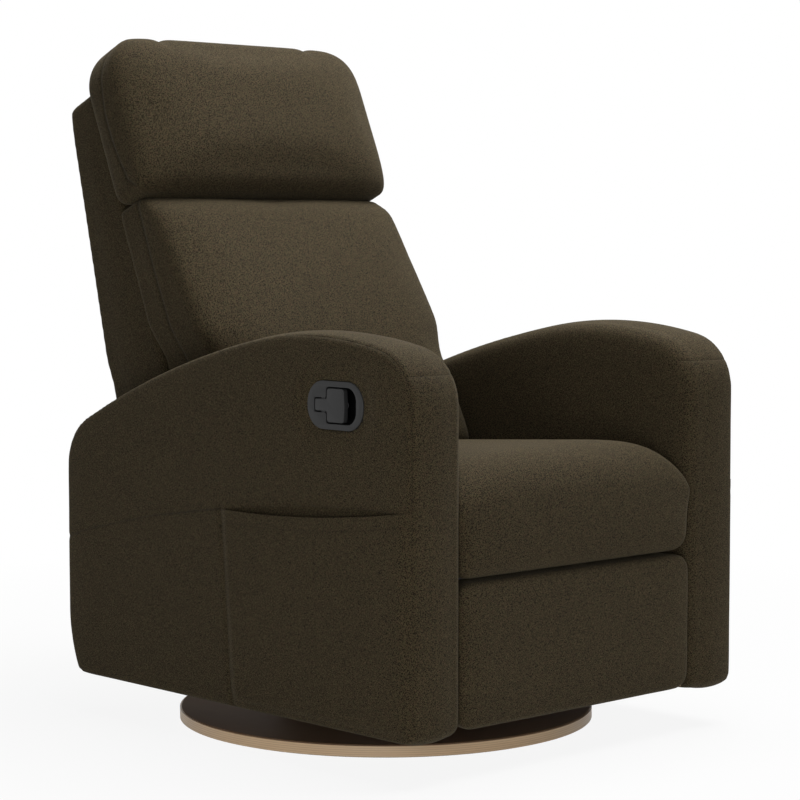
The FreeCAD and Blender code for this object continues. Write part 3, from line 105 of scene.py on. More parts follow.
class Finish:
    # one material: its tree, its shader and the nodes that feed it
    def __init__(self, name):
        self.material = bpy.data.materials.new(name)
        self.material.use_nodes = True
        self.tree = self.material.node_tree
        self.shader = self.tree.nodes["Principled BSDF"]

    def node(self, kind, settings=None, inputs=None, output=0):
        made = self.tree.nodes.new("ShaderNode" + kind)
        for name, value in (settings or {}).items():
            setattr(made, name, value)
        for name, value in (inputs or {}).items():
            if isinstance(value, Value):
                self.tree.links.new(value.socket, made.inputs[name])
            else:
                made.inputs[name].default_value = value
        return Value(self.tree, made.outputs[output])

    def place(self, size=(1, 1, 1), turn=(0, 0, 0)):
        spot = self.node("TexCoord", output=3)
        return self.node("Mapping", {}, {"Vector": spot, "Scale": size, "Rotation": turn})

    def noise(self, spot, scale, detail=2.0, rough=0.5, warp=0.0):
        return self.node("TexNoise", {}, {"Vector": spot, "Scale": scale, "Detail": detail,
                                          "Roughness": rough, "Distortion": warp})

    def attribute(self, name):
        return self.node("Attribute", {"attribute_name": name}, output=2)

    def mixed(self, share, first, second):
        made = self.node("Mix", {"data_type": "RGBA"}, output=2)
        sockets = [socket for socket in made.socket.node.inputs if socket.enabled]
        for place, item in zip(sockets, (share, first, second)):
            if isinstance(item, Value):
                self.tree.links.new(item.socket, place)
            else:
                place.default_value = (*item, 1)
        return made

    def bump(self, height, distance, strength=1.0, normal=None):
        inputs = {"Height": height, "Distance": distance, "Strength": strength}
        if normal:
            inputs["Normal"] = normal
        return self.node("Bump", {}, inputs)

    def set(self, **values):
        for name, value in values.items():
            socket = self.shader.inputs[name.replace("_", " ")]
            if isinstance(value, Value):
                self.tree.links.new(value.socket, socket)
            elif isinstance(value, tuple):
                socket.default_value = (*value, 1)
            else:
                socket.default_value = value
        return self.material


def srgb(red, green, blue):
    # a colour as it is read on the screen, 0 to 255
    def linear(level):
        level = level / 255
        return level / 12.92 if level <= 0.04045 else ((level + 0.055) / 1.055) ** 2.4
    return tuple(linear(level) for level in (red, green, blue))


def makeFabric():
    look = {"dark": srgb(17, 13, 7), "warm": srgb(82, 67, 48), "cool": srgb(75, 68, 46),
            "threadAndSeamShade": srgb(10, 8, 5), "yarn": 880, "yarnShare": 5.2, "fleck": 660,
            "fleckShare": 4.2, "cloud": 12, "cloudShare": 0.12, "heather": 330, "heatherShare": 4.0,
            "turn": (0.6, 0.5, 0.4), "seamShade": 7.0, "seamLine": 1.0, "stitchAway": 2.3,
            "stitchLine": 0.8, "shadeShare": 0.2, "creaseShadeShare": 0.6, "rowShare": 0.5,
            "fuzz": (0.0009, 0.55), "groove": (0.0012, 0.8), "rough": 0.92, "gloss": 0.13,
            "sheen": 0.12, "sheenRough": 0.45, "sheenTint": srgb(190, 178, 150)}
    cloth = Finish("woolCloth")
    spot = cloth.place(turn=look["turn"])  # keeps the noise's planes off the flat sides
    yarn = cloth.noise(spot, look["yarn"], 3.0, 0.65)
    fleck = cloth.noise(spot, look["fleck"], 2.0, 0.6, 0.4)
    cloud = cloth.noise(spot, look["cloud"], 2.0)
    heather = cloth.noise(spot, look["heather"], 2.0)
    grain = (yarn - 0.5) * look["yarnShare"] + (fleck - 0.5) * look["fleckShare"]
    grain = (grain + (cloud - 0.5) * look["cloudShare"] + 0.5).clamped()
    tone = ((heather - 0.5) * look["heatherShare"] + 0.5).clamped()
    fibre = cloth.mixed(tone, look["warm"], look["cool"])
    colour = cloth.mixed(grain, look["dark"], fibre)
    away = abs(cloth.attribute("seam"))  # millimetres from the nearest seam
    # painted shade: a dark crease line along each sewn seam
    line = (1.0 - away / look["seamLine"]).clamped() * cloth.attribute("sewn")
    # the two rows of stitches beside a twin seam
    rows = (1.0 - abs(away - look["stitchAway"]) / look["stitchLine"]).clamped()
    rows = rows * cloth.attribute("twin")
    # painted shade a few millimetres wide on each side of the seam, besides its real groove
    shade = (1.0 - away / look["seamShade"]).clamped() * cloth.attribute("sewn")
    sewn = shade * look["shadeShare"] + line * look["creaseShadeShare"] + rows * look["rowShare"]
    # the painted seam shade, the painted crease line and the stitch rows all take the thread colour
    colour = cloth.mixed(sewn.clamped(), colour, look["threadAndSeamShade"])
    relief = cloth.bump(yarn * 0.6 + fleck * 0.4, *look["fuzz"])
    relief = cloth.bump(0.0 - line - rows * 0.5, *look["groove"], relief)
    return cloth.set(Base_Color=colour, Roughness=look["rough"], Specular_IOR_Level=look["gloss"],
                     Sheen_Weight=look["sheen"], Sheen_Roughness=look["sheenRough"],
                     Sheen_Tint=look["sheenTint"], Normal=relief)


def makePly():
    look = {"dark": srgb(232, 192, 148), "light": srgb(253, 226, 188), "glue": srgb(186, 142, 98),
            "layers": 5, "base": 0.002, "height": 0.0160, "glueEdge": 6.0, "rough": 0.45}
    wood = Finish("oakPly")
    spot = wood.place()
    across = wood.node("SeparateXYZ", {}, {"Vector": spot}, output=2)
    grain = wood.noise(wood.place((6, 6, 900)), 1.0, 4.0, 0.6)
    fine = wood.noise(wood.place((40, 40, 2600)), 1.0, 3.0, 0.6)
    layer = (across - look["base"]) / look["height"] * look["layers"]
    glue = (abs(layer.fraction() - 0.5) * 2.0) ** look["glueEdge"]
    share = (grain * 0.8 + fine * 0.5 - 0.15).clamped()
    colour = wood.mixed(share, look["dark"], look["light"])
    colour = wood.mixed((glue * 0.7).clamped(), colour, look["glue"])
    relief = wood.bump(grain - glue * 0.6, 0.0004, 0.4)
    return wood.set(Base_Color=colour, Roughness=look["rough"], Normal=relief)


def makeTimber(name, dark, light, size):
    wood = Finish(name)
    rings = wood.noise(wood.place(size), 1.0, 4.0, 0.6, 0.6)
    fine = wood.noise(wood.place(tuple(part * 6 for part in size)), 1.0, 3.0)
    colour = wood.mixed((rings * 0.9 + fine * 0.3 - 0.1).clamped(), srgb(*dark), srgb(*light))
    return wood.set(Base_Color=colour, Roughness=0.7, Normal=wood.bump(rings + fine, 0.0004, 0.4))


def makeMetal(name, dark, light, metallic, rough, grain=220, shine=0.5):
    metal = Finish(name)
    spot = metal.place()
    cloud = metal.noise(spot, 18.0, 3.0)
    fine = metal.noise(spot, grain, 3.0, 0.6)
    colour = metal.mixed((cloud * 0.7 + fine * 0.3).clamped(), srgb(*dark), srgb(*light))
    return metal.set(Base_Color=colour, Roughness=(fine - 0.5) * 0.16 + rough, Metallic=metallic,
                     Specular_IOR_Level=shine, Normal=metal.bump(fine, 0.0002, 0.3))


def makePlastic(name, dark, light, rough, grain=1500, shine=0.5):
    plastic = Finish(name)
    spot = plastic.place()
    fine = plastic.noise(spot, grain, 2.0, 0.5)
    wear = plastic.noise(spot, 40.0, 3.0)
    colour = plastic.mixed((wear * 0.6 + fine * 0.4).clamped(), srgb(*dark), srgb(*light))
    # the pit behind the lever is painted nearly black: painted shade on the same plastic
    colour = plastic.mixed(plastic.attribute("well"), colour, srgb(2, 2, 2))
    return plastic.set(Base_Color=colour, Roughness=(wear - 0.5) * 0.12 + rough,
                       Specular_IOR_Level=shine, Normal=plastic.bump(fine, 0.00015, 0.35))


finishes = {
    "fabric": makeFabric(),
    "felt": makePlastic("feltPad", (20, 20, 20), (40, 40, 40), 0.95, 700),
    "oak_ply": makePly(),
    # the plate's colour is partly its own dark brown and partly a painted reflection of the brown
    # cloth above it, so it is lighter and browner
    "dark_plate": makeMetal("plateWithPaintedReflection", (118, 93, 72), (130, 105, 82), 0.0, 0.7, 500, 0.08),
    "zinc_steel": makeMetal("zincSteel", (150, 150, 152), (190, 190, 194), 0.9, 0.34),
    "black_steel": makeMetal("blackSteel", (22, 22, 24), (36, 36, 38), 0.2, 0.45),
    "spring_steel": makeMetal("springSteel", (92, 92, 96), (128, 128, 132), 0.9, 0.35),
    "nylon": makePlastic("nylonBush", (205, 200, 186), (226, 222, 210), 0.5),
    "frame_timber": makeTimber("frameTimber", (168, 128, 84), (214, 182, 138), (14, 60, 60)),
    "board_ply": makeTimber("boardPly", (160, 126, 86), (206, 176, 134), (70, 12, 12)),
    "black_plastic": makePlastic("charcoalPlastic", (40, 40, 40), (47, 47, 47), 0.5, shine=0.25),
}
print("finishes made:", len(finishes))


# Modelling helpers

def pick(*objects):
    bpy.ops.object.select_all(action="DESELECT")
    for thing in objects:
        thing.select_set(True)
    bpy.context.view_layer.objects.active = objects[0]


def choose(thing, kind, test):
    # in edit mode, selects the vertices, edges or faces that the test accepts
    bpy.ops.mesh.select_mode(type={"verts": "VERT", "edges": "EDGE", "faces": "FACE"}[kind])
    bpy.ops.mesh.select_all(action="DESELECT")
    form = bmesh.from_edit_mesh(thing.data)
    for element in getattr(form, kind):
        if test(element):
            element.select_set(True)
    form.select_flush_mode()
    bmesh.update_edit_mesh(thing.data)


def bevel(thing, width, segments, test):
    pick(thing)
    bpy.ops.object.mode_set(mode="EDIT")
    choose(thing, "edges", test)
    bpy.ops.mesh.bevel(offset=width, segments=segments, profile=0.5, clamp_overlap=False)
    bpy.ops.object.mode_set(mode="OBJECT")


def outlineBody(name, spots, step):
    # a filled circle, its points moved to the outline, then extruded by step
    bpy.ops.mesh.primitive_circle_add(vertices=len(spots), radius=0.1, fill_type="NGON")
    thing = bpy.context.object
    thing.name = thing.data.name = name
    for vertex, spot in zip(thing.data.vertices, spots):
        vertex.co = spot
    bpy.ops.object.mode_set(mode="EDIT")
    bpy.ops.mesh.select_all(action="SELECT")
    bpy.ops.mesh.extrude_region_move(TRANSFORM_OT_translate={"value": tuple(step)})
    bpy.ops.mesh.select_all(action="SELECT")
    bpy.ops.mesh.normals_make_consistent(inside=False)
    bpy.ops.object.mode_set(mode="OBJECT")
    return thing


def applied(thing, kind, **settings):
    pick(thing)
    made = thing.modifiers.new(kind.title(), kind)
    for name, value in settings.items():
        setattr(made, name, value)
    bpy.ops.object.modifier_apply(modifier=made.name)
    return thing


def remeshed(thing, voxel, repeats):
    applied(thing, "REMESH", mode="VOXEL", voxel_size=voxel, use_smooth_shade=True)
    return applied(thing, "SMOOTH", factor=0.5, iterations=repeats)


def points(thing):
    flat = np.empty(len(thing.data.vertices) * 3)
    thing.data.vertices.foreach_get("co", flat)
    return flat.reshape(-1, 3)


def normals(thing):
    flat = np.empty(len(thing.data.vertices) * 3, np.float32)
    thing.data.vertex_normals.foreach_get("vector", flat)
    return flat.reshape(-1, 3).astype(float)


def movePoints(thing, spots):
    thing.data.vertices.foreach_set("co", np.ascontiguousarray(spots).ravel())
    thing.data.update()


def smoothStep(values, start, end):
    share = np.clip((values - start) / (end - start), 0, 1)
    return share * share * (3 - 2 * share)


def toPath(spots, path):
    # each point's distance from a path of straight runs, less than 0 on its right in the side view
    best = np.full(len(spots), 9.0)
    for start, end in zip(path, path[1:]):
        start = np.array(start, float)
        run = np.array(end, float) - start
        share = np.clip((spots - start) @ run / (run @ run), 0, 1)
        away = np.linalg.norm(spots - (start + share[:, None] * run), axis=1)
        side = run[1] * (spots[:, 2] - start[2]) - run[2] * (spots[:, 1] - start[1])
        nearer = away < np.abs(best)
        best[nearer] = np.where(side < 0, -away, away)[nearer]
    return best


def sew(thing, distance, strength, depth, width, twin=False):
    # a groove along a seam, and the attributes from which the cloth paints shade and a dark crease
    # line along it, and its two rows of stitches
    spots = points(thing)
    strength = strength * np.ones(len(spots))
    spots -= normals(thing) * (depth * strength * np.exp(-(distance / width) ** 2))[:, None]
    movePoints(thing, spots)
    layers = {}
    for name, start in (("seam", 99.0), ("sewn", 0.0), ("twin", 0.0)):
        layer = thing.data.attributes.get(name)
        values = np.full(len(spots), start, np.float32)
        if layer:
            layer.data.foreach_get("value", values)
        else:
            layer = thing.data.attributes.new(name, "FLOAT", "POINT")
        layers[name] = (layer, values)
    nearer = (np.abs(distance) * 1000 < np.abs(layers["seam"][1])) & (strength > 0.01)
    for name, made in (("seam", distance * 1000), ("sewn", strength), ("twin", strength * twin)):
        layer, values = layers[name]
        values[nearer] = made[nearer]
        layer.data.foreach_set("value", values)


def dressed(thing, finish, body, *nodes, fill=None):
    thing.data.materials.clear()
    thing.data.materials.append(finishes[finish])
    pick(thing)
    bpy.ops.object.shade_smooth()
    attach(thing, body)
    if nodes:
        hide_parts(*nodes)
    return thing


def arc(centre, radius, start, end, pitch=0.008):
    # points of an arc in a side view, angles in radians from +Y towards +Z
    count = max(2, int(abs(end - start) * radius / pitch))
    angles = np.linspace(start, end, count + 1)
    return [(centre[0] + radius * math.cos(a), centre[1] + radius * math.sin(a)) for a in angles]


def roundedLoop(corners, pitch=0.006):
    # a closed outline from corners (across, up, radius)
    loop = []
    for index, (x, y, radius) in enumerate(corners):
        spot = Vector((x, y))
        before = (Vector(corners[index - 1][:2]) - spot).normalized()
        after = (Vector(corners[(index + 1) % len(corners)][:2]) - spot).normalized()
        half = before.angle(after) / 2
        reach = radius / math.tan(half)
        centre = spot + (before + after).normalized() * (radius / math.sin(half))
        first = spot + before * reach - centre
        last = spot + after * reach - centre
        sweep = first.angle_signed(last)
        count = max(2, int(abs(sweep) * radius / pitch))
        turn = math.atan2(first.y, first.x)
        for step in range(count + 1):
            a = turn - sweep * step / count
            loop.append((centre.x + radius * math.cos(a), centre.y + radius * math.sin(a)))
    return loop


# The pads that the cloth simulation swells

swelling = []
padding = {"frames": 20, "pressure": 4.0, "quality": 4, "evenRounds": 40, "sides": (0.17, 0.235)}


def puffed(thing, cap):
    # cap is the most that the padding moves the cloth
    swelling.append((thing, cap))
    return thing


def evened(thing, values, rounds):
    # each point's value drawn towards its neighbours', so that the cloth keeps no small creases
    ends = np.empty(len(thing.data.edges) * 2, np.int32)
    thing.data.edges.foreach_get("vertices", ends)
    first, second = ends.reshape(-1, 2).T
    count = np.bincount(ends, minlength=len(values)).clip(1)
    for turn in range(rounds):
        total = np.bincount(first, values[second], len(values))
        total = total + np.bincount(second, values[first], len(values))
        values = (values + total / count) / 2
    return values


def swellAll():
    # the simulation swells the pads, and only its outward part is kept
    frames = padding["frames"]
    before = {}
    for thing, cap in swelling:
        before[thing.name] = points(thing)
        cloth = thing.modifiers.new("Padding", "CLOTH")
        cloth.settings.quality = padding["quality"]
        cloth.settings.use_pressure = True
        cloth.settings.uniform_pressure_force = padding["pressure"]
        cloth.settings.effector_weights.gravity = 0
        cloth.collision_settings.use_collision = False
        cloth.point_cache.frame_end = frames
    for step in range(1, frames + 1):
        bpy.context.scene.frame_set(step)
    for thing, cap in swelling:
        pick(thing)
        bpy.ops.object.modifier_apply(modifier="Padding")
        moved = points(thing)
        movePoints(thing, before[thing.name])
        face = normals(thing)
        out = np.clip(((moved - before[thing.name]) * face).sum(1), 0, None)
        out = evened(thing, cap * np.tanh(out / cap), padding["evenRounds"])
        movePoints(thing, before[thing.name] + face * out[:, None])
    bpy.context.scene.frame_set(1)
    print("pads swelled:", len(swelling))


# The leaning back, whose sizes are given along and out of its face

lean = {"angle": math.radians(23), "foot": (0.165, 0.340)}


def leaning(across, rise, forward):
    # a point of the back: sideways, up its face and out of its face
    sine, cosine = math.sin(lean["angle"]), math.cos(lean["angle"])
    return (across, lean["foot"][0] + sine * rise - cosine * forward,
            lean["foot"][1] + cosine * rise + sine * forward)


def heading(rise, forward):
    # a direction on the leaning back
    return np.array(leaning(0, rise, forward)) - np.array(leaning(0, 0, 0))


def unlean(spots):
    # each point's rise along the back's face and its distance out of it
    sine, cosine = math.sin(lean["angle"]), math.cos(lean["angle"])
    back = spots[:, 1] - lean["foot"][0]
    up = spots[:, 2] - lean["foot"][1]
    return sine * back + cosine * up, -cosine * back + sine * up


# Arms

arm = {"nose": 0.084, "crown": 0.650, "crownAt": -0.215, "crownEnd": -0.095, "slope": 1.720,
       "shoulder": 0.088, "heel": 0.237, "tuck": 0.026, "inner": 0.2415, "innerRound": 0.022,
       "outer": 0.3430, "outerRound": 0.005, "footRound": 0.018, "voxel": 0.005, "swell": 0.004,
       "proud": 0.0002, "rearProud": 0.0070, "footProud": 0.0030,
       "bandCrown": 0.004, "bandMiddle": 0.302, "bandHalf": 0.036, "seamIn": 0.0022,
       "crossSeam": 0.569, "valleyBend": (-0.020, 0.300),
       "tail": ((0.160, 0.331), (0.305, 0.300), (0.376, 0.280))}
# each groove's depth and width, how strong it is, and where it fades along the arm
armSeam = {"edge": (0.0034, 0.0034), "edgeShare": 0.55, "edgeFade": (-0.240, -0.130),
           "edgeFrom": 0.07, "cross": (0.0018, 0.0032), "crossShare": 0.35, "crossEnd": -0.37,
           "crossNear": 0.008,
           "valley": (0.0026, 0.006), "tail": (0.0022, 0.004), "tailFade": (0.060, 0.330),
           "near": 0.010, "outside": 0.335}


def armReach(side="right"):
    # front, rear, top and bottom of the arm, its cloth a little proud of the frame's bands
    low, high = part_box("arm_top_band_" + side)
    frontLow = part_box("arm_front_band_" + side)[0]
    proud = arm["proud"]
    return (frontLow.y - proud, high.y + arm["rearProud"],
            high.z + proud, frontLow.z - arm["footProud"])


def armOutline(front, rear, top, bottom):
    # nose, crown, slope, shoulder and heel of the arm's side outline, as tangent arcs
    nose, crown, slope = arm["nose"], arm["crown"], arm["slope"]
    shoulder, heel = arm["shoulder"], arm["heel"]
    crownCentre = Vector((arm["crownAt"], top - crown))
    noseY = front + nose
    noseRise = math.sqrt((crown - nose) ** 2 - (noseY - crownCentre.x) ** 2)
    noseCentre = Vector((noseY, crownCentre.y + noseRise))
    share = (arm["crownEnd"] - arm["crownAt"]) / crown
    slopeCentre = crownCentre + Vector((share, math.sqrt(1 - share ** 2))) * (crown - slope)
    shoulderY = rear - shoulder
    shoulderRise = math.sqrt((slope - shoulder) ** 2 - (shoulderY - slopeCentre.x) ** 2)
    shoulderCentre = Vector((shoulderY, slopeCentre.y + shoulderRise))
    heelCentre = Vector((rear - heel, bottom + math.sqrt(arm["tuck"] * (2 * heel - arm["tuck"]))))

    def turnTo(start, end):
        away = end - start
        return math.atan2(away.y, away.x)

    turnHigh = turnTo(crownCentre, noseCentre)
    turnMid = turnTo(slopeCentre, crownCentre)
    turnLow = turnTo(slopeCentre, shoulderCentre)
    foot = -math.asin((heelCentre.y - bottom) / heel)
    spots = [(front, bottom)]
    spots += arc(heelCentre, heel, foot, 0)
    spots += arc(shoulderCentre, shoulder, 0, turnLow)
    spots += arc(slopeCentre, slope, turnLow, turnMid, 0.02)[1:]
    spots += arc(crownCentre, crown, turnMid, turnHigh, 0.015)[1:]
    spots += arc(noseCentre, nose, turnHigh, math.pi)[1:]
    return spots


def makeArmCover():
    # the right arm; the left one is its mirror image
    front, rear, top, bottom = armReach()
    inner, outer = arm["inner"], arm["outer"]
    spots = armOutline(front, rear, top, bottom)
    cover = outlineBody("arm_cover_right", [(-inner, y, z) for y, z in spots],
                        (inner - outer, 0, 0))

    def along(edge, across):
        return all(abs(abs(v.co.x) - across) < 1e-5 for v in edge.verts)

    def atBottom(edge):
        return all(abs(v.co.z - bottom) < 1e-5 for v in edge.verts)

    bevel(cover, arm["footRound"], 4,
          lambda edge: atBottom(edge) and abs(edge.verts[0].co.x - edge.verts[1].co.x) > 0.01)
    bevel(cover, arm["innerRound"], 8, lambda edge: along(edge, inner) and not atBottom(edge))
    bevel(cover, arm["outerRound"], 3, lambda edge: along(edge, outer) and not atBottom(edge))
    remeshed(cover, arm["voxel"], 3)
    spots = points(cover)
    face = normals(cover)
    band = 1 - np.abs(face[:, 0])  # 1 on the band, 0 on the flat sides
    middle = np.clip(1 - ((np.abs(spots[:, 0]) - arm["bandMiddle"]) / arm["bandHalf"]) ** 2, 0, 1)
    movePoints(cover, spots + face * (arm["bandCrown"] * band * middle)[:, None])
    return puffed(cover, arm["swell"])


def refined(thing, near):
    # splits the faces whose middle is near a seam, so that the groove has enough points
    pick(thing)
    bpy.ops.object.mode_set(mode="EDIT")
    bpy.ops.mesh.select_mode(type="FACE")
    bpy.ops.mesh.select_all(action="DESELECT")
    form = bmesh.from_edit_mesh(thing.data)
    middles = np.array([list(face.calc_center_median()) for face in form.faces])
    for face, chosen in zip(form.faces, near(middles)):
        face.select_set(bool(chosen))
    bmesh.update_edit_mesh(thing.data)
    bpy.ops.mesh.subdivide(number_cuts=1)
    bpy.ops.object.mode_set(mode="OBJECT")


def mirrored(thing, name):
    # a copy on the other side, with its faces turned the right way out
    pick(thing)
    bpy.ops.object.duplicate()
    other = bpy.context.object
    other.name = other.data.name = name
    bpy.ops.object.mode_set(mode="EDIT")
    bpy.ops.mesh.select_all(action="SELECT")
    bpy.ops.transform.resize(value=(-1, 1, 1), center_override=(0, 0, 0))
    bpy.ops.mesh.flip_normals()
    bpy.ops.object.mode_set(mode="OBJECT")
    return other


def mouthLines(y):
    # heights of the pocket's free lip and of the fold over it, from the rear end to the front end
    share = np.clip((pocket["rear"] - y) / (pocket["rear"] - pocket["mouthFront"]), 0, 1)
    chord = pocket["rearHigh"] + (pocket["frontHigh"] - pocket["rearHigh"]) * share
    belly = 4 * share * (1 - share)
    return chord - pocket["sag"] * belly, chord + pocket["gape"] * belly, belly


def armSeams(sign):
    # the seams' paths on the outer side of one arm
    front, rear, top, bottom = armReach()
    back = arm["seamIn"]
    across = sign * (arm["outer"] - back)
    edge = [(across, y, z) for y, z in armOutline(front + back, rear - back, top - back, bottom)]
    edge = edge[:1] + edge[:0:-1]
    face = sign * arm["outer"]
    fork = (face, pocket["rear"], pocket["rearHigh"])
    valley = [(face, pocket["rearLow"], bottom), (face, *arm["valleyBend"]), fork]
    tail = [fork] + [(face, *spot) for spot in arm["tail"]]
    return edge, valley, tail


def sewArmCover(cover, side):
    sign = sides[side]
    edge, valley, tail = armSeams(sign)

    def nearSeams(middles):
        close = np.zeros(len(middles), bool)
        for path in (edge, valley, tail):
            close |= np.abs(toPath(middles, path)) < armSeam["near"]
        lip, fold, belly = mouthLines(middles[:, 1])
        height = middles[:, 2]
        mouth = (height > lip - pocket["fineBelow"]) & (height < fold + pocket["fineAbove"])
        close |= (middles[:, 0] * sign > armSeam["outside"]) & mouth & (belly > 0)
        cross = np.abs(height - arm["crossSeam"]) < armSeam["crossNear"]
        return close | (cross & (middles[:, 1] < armSeam["crossEnd"]))

    refined(cover, nearSeams)
    spots = points(cover)
    face = normals(cover)
    outside = np.clip((face[:, 0] * sign - 0.3) / 0.4, 0, 1)  # 1 where the cloth faces outwards
    fade = armSeam["edgeShare"] * (1 - smoothStep(spots[:, 1], *armSeam["edgeFade"]))
    sew(cover, toPath(spots, edge), fade * (spots[:, 2] > armSeam["edgeFrom"]), *armSeam["edge"])
    front = smoothStep(-face[:, 1], 0.2, 0.6) * (spots[:, 1] < armSeam["crossEnd"])
    sew(cover, spots[:, 2] - arm["crossSeam"], front * armSeam["crossShare"], *armSeam["cross"])
    sew(cover, toPath(spots, valley), outside, *armSeam["valley"])
    faint = 1 - 0.4 * smoothStep(spots[:, 1], *armSeam["tailFade"])
    sew(cover, toPath(spots, tail), outside * faint, *armSeam["tail"], True)
    spots = points(cover)
    lip, fold, belly = mouthLines(spots[:, 1])
    height = spots[:, 2]
    below = (height < fold) & (height > lip - pocket["mouthDrop"])
    pit = pocket["mouthDeep"] * smoothStep(fold - height, 0, pocket["mouthEdge"])
    over = pocket["foldDeep"] * (1 - smoothStep(height - fold, 0, pocket["foldFade"]))
    inward = np.where(below, pit, 0) + over * (height >= fold)
    inward = inward * np.clip(belly * pocket["mouthEnds"], 0, 1) * (outside > 0.5)
    spots[:, 0] -= sign * inward
    if side == "right":  # room for the lever's cup behind its bezel
        centre, reach = lever["middle"], lever["cupRound"]
        across = np.abs(spots[:, 1] - centre[0]) - lever["cup"][0] / 2 + reach
        upward = np.abs(height - centre[1]) - lever["cup"][1] / 2 + reach
        away = np.hypot(across.clip(0), upward.clip(0)) + np.minimum(np.maximum(across, upward), 0)
        away = away - reach
        level = lever["face"] - lever["flange"] + lever["clothUnder"]
        flat = (1 - smoothStep(away, *lever["clothFlat"])) * (outside > 0.5)
        spots[:, 0] += flat * np.clip(-level - spots[:, 0], 0, 1)
        inside = (away < 0.001) & (outside > 0.5)
        spots[inside, 0] = -lever["face"] + lever["cupDepth"] + lever["behindCup"]
    movePoints(cover, spots)
    nodes = [name + side for name in ("arm_front_band_", "arm_top_band_", "arm_side_panel_",
                                      "arm_inner_pad_")]
    return dressed(cover, "fabric", "seat_frame", *nodes, fill=0.7)


board = {"inset": 0.022, "footRoom": 0.004, "edge": 0.0012}


def makeInnerBoard(side):
    # the arm's inner board, cut smaller so that it lies within the cover's wide inner round
    name = "arm_inner_board_" + side
    low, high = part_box(name)
    front, rear, top, bottom = armReach()
    inset = board["inset"]
    spots = armOutline(front + inset, rear - inset, top - inset, bottom + board["footRoom"])
    thing = outlineBody("inner_board_" + side, [(low.x, y, z) for y, z in spots],
                        (high.x - low.x, 0, 0))
    applied(thing, "BEVEL", width=board["edge"], segments=2, limit_method="ANGLE")
    dressed(thing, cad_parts[name].data.materials[0].name, "seat_frame", name)
    pick(thing)
    bpy.ops.object.shade_smooth_by_angle(angle=math.radians(40))


# Cushions

def widened(spots, extra, share):
    # moves the sides out by extra, where share says so
    side = smoothStep(np.abs(spots[:, 0]), *padding["sides"])
    spots[:, 0] += np.sign(spots[:, 0]) * extra * side * share
    return spots


seat = {"front": -0.4215, "rear": 0.050, "half": 0.2405, "top": 0.453, "fall": 0.030,
        "bottom": 0.3235, "lip": 0.2790, "lipDepth": 0.060, "frontRound": 0.062, "lipRound": 0.024,
        "waist": 0.333,
        "crownHalf": 0.2505, "crownPower": 3.5, "frontBulge": 0.008, "bulgeFrom": (0.385, 0.420),
        "tail": (0.156, 0.338), "tailHigh": (0.052, 0.376), "tailHalf": 0.221,
        "tailFrom": (0.095, 0.120), "voxel": 0.006, "swell": 0.007}


def makeSeat():
    lipBack = seat["front"] + seat["lipDepth"]
    outline = [(seat["front"], seat["lip"]), (lipBack, seat["lip"]), (lipBack, seat["bottom"]),
               (seat["tail"][0], seat["bottom"]), seat["tail"], seat["tailHigh"],
               (seat["rear"], seat["top"] - seat["fall"]), (seat["front"], seat["top"])]
    half = seat["half"]
    cushion = outlineBody("seat_pad", [(-half, y, z) for y, z in outline], (half * 2, 0, 0))

    def middle(edge):
        return (edge.verts[0].co + edge.verts[1].co) / 2

    def frontSide(edge):
        spot = middle(edge)
        return abs(abs(spot.x) - half) < 1e-4 and abs(spot.y - seat["front"]) < 1e-4

    def frontTop(edge):
        spot = middle(edge)
        return abs(spot.x) < 1e-4 and abs(spot.y - seat["front"]) < 1e-4 and spot.z > 0.4

    def lipEdge(edge):
        spot = middle(edge)
        return abs(abs(spot.x) - half) < 1e-4 and abs(spot.z - seat["lip"]) < 1e-4

    def frontLow(edge):
        spot = middle(edge)
        return abs(spot.x) < 1e-4 and abs(spot.y - seat["front"]) < 1e-4 and spot.z < 0.3

    bevel(cushion, seat["frontRound"], 8, frontTop)
    bevel(cushion, seat["lipRound"], 6,
          lambda edge: frontSide(edge) or lipEdge(edge) or frontLow(edge))
    remeshed(cushion, seat["voxel"], 1)
    spots = points(cushion)
    power = seat["crownPower"]
    share = (1 - np.clip(np.abs(spots[:, 0]) / seat["crownHalf"], 0, 1) ** power) ** (1 / power)
    high = np.clip(spots[:, 2] - seat["waist"], 0, 1)
    spots[:, 2] -= high * (1 - share)
    widened(spots, seat["frontBulge"], smoothStep(-spots[:, 1], *seat["bulgeFrom"]))
    # the tail fills the gap that opens as the back reclines, and passes between the back's brackets
    spots[:, 0] *= 1 - (1 - seat["tailHalf"] / half) * smoothStep(spots[:, 1], *seat["tailFrom"])
    movePoints(cushion, spots)
    remeshed(cushion, seat["voxel"], 5)
    return puffed(cushion, seat["swell"])


back = {"half": 0.2390, "top": 0.497, "topDepth": 0.099, "foot": 0.162, "crown": 0.036,
        "low": 0.028, "rear": 0.002, "sideRound": 0.014, "bow": 0.012, "bowSteps": 14,
        "wider": 0.017, "wideFrom": (0.555, 0.625), "seam": 0.054, "domeHalf": 0.249,
        "domePower": 6.0, "voxel": 0.006, "swell": 0.012}


def domed(thing, half, base, power, rise=None):
    # rounds the face of a leaning pad: it falls towards base at both sides, and at top and bottom
    # too if rise gives their middle, half height and two powers
    spots = points(thing)
    up, forward = unlean(spots)
    facing = heading(0, 1)
    share = (1 - np.clip(np.abs(spots[:, 0]) / half, 0, 0.999) ** power) ** (1 / power)
    if rise:
        middle, tall, highPower, lowPower = rise
        part = np.clip((up - middle) / tall, -0.999, 0.999)
        edge = np.where(part > 0, highPower, lowPower)
        share = share * (1 - np.abs(part) ** edge) ** (1 / edge)
    sunk = np.clip(forward - base, 0, 1) * (1 - share)
    movePoints(thing, spots - facing * sunk[:, None])


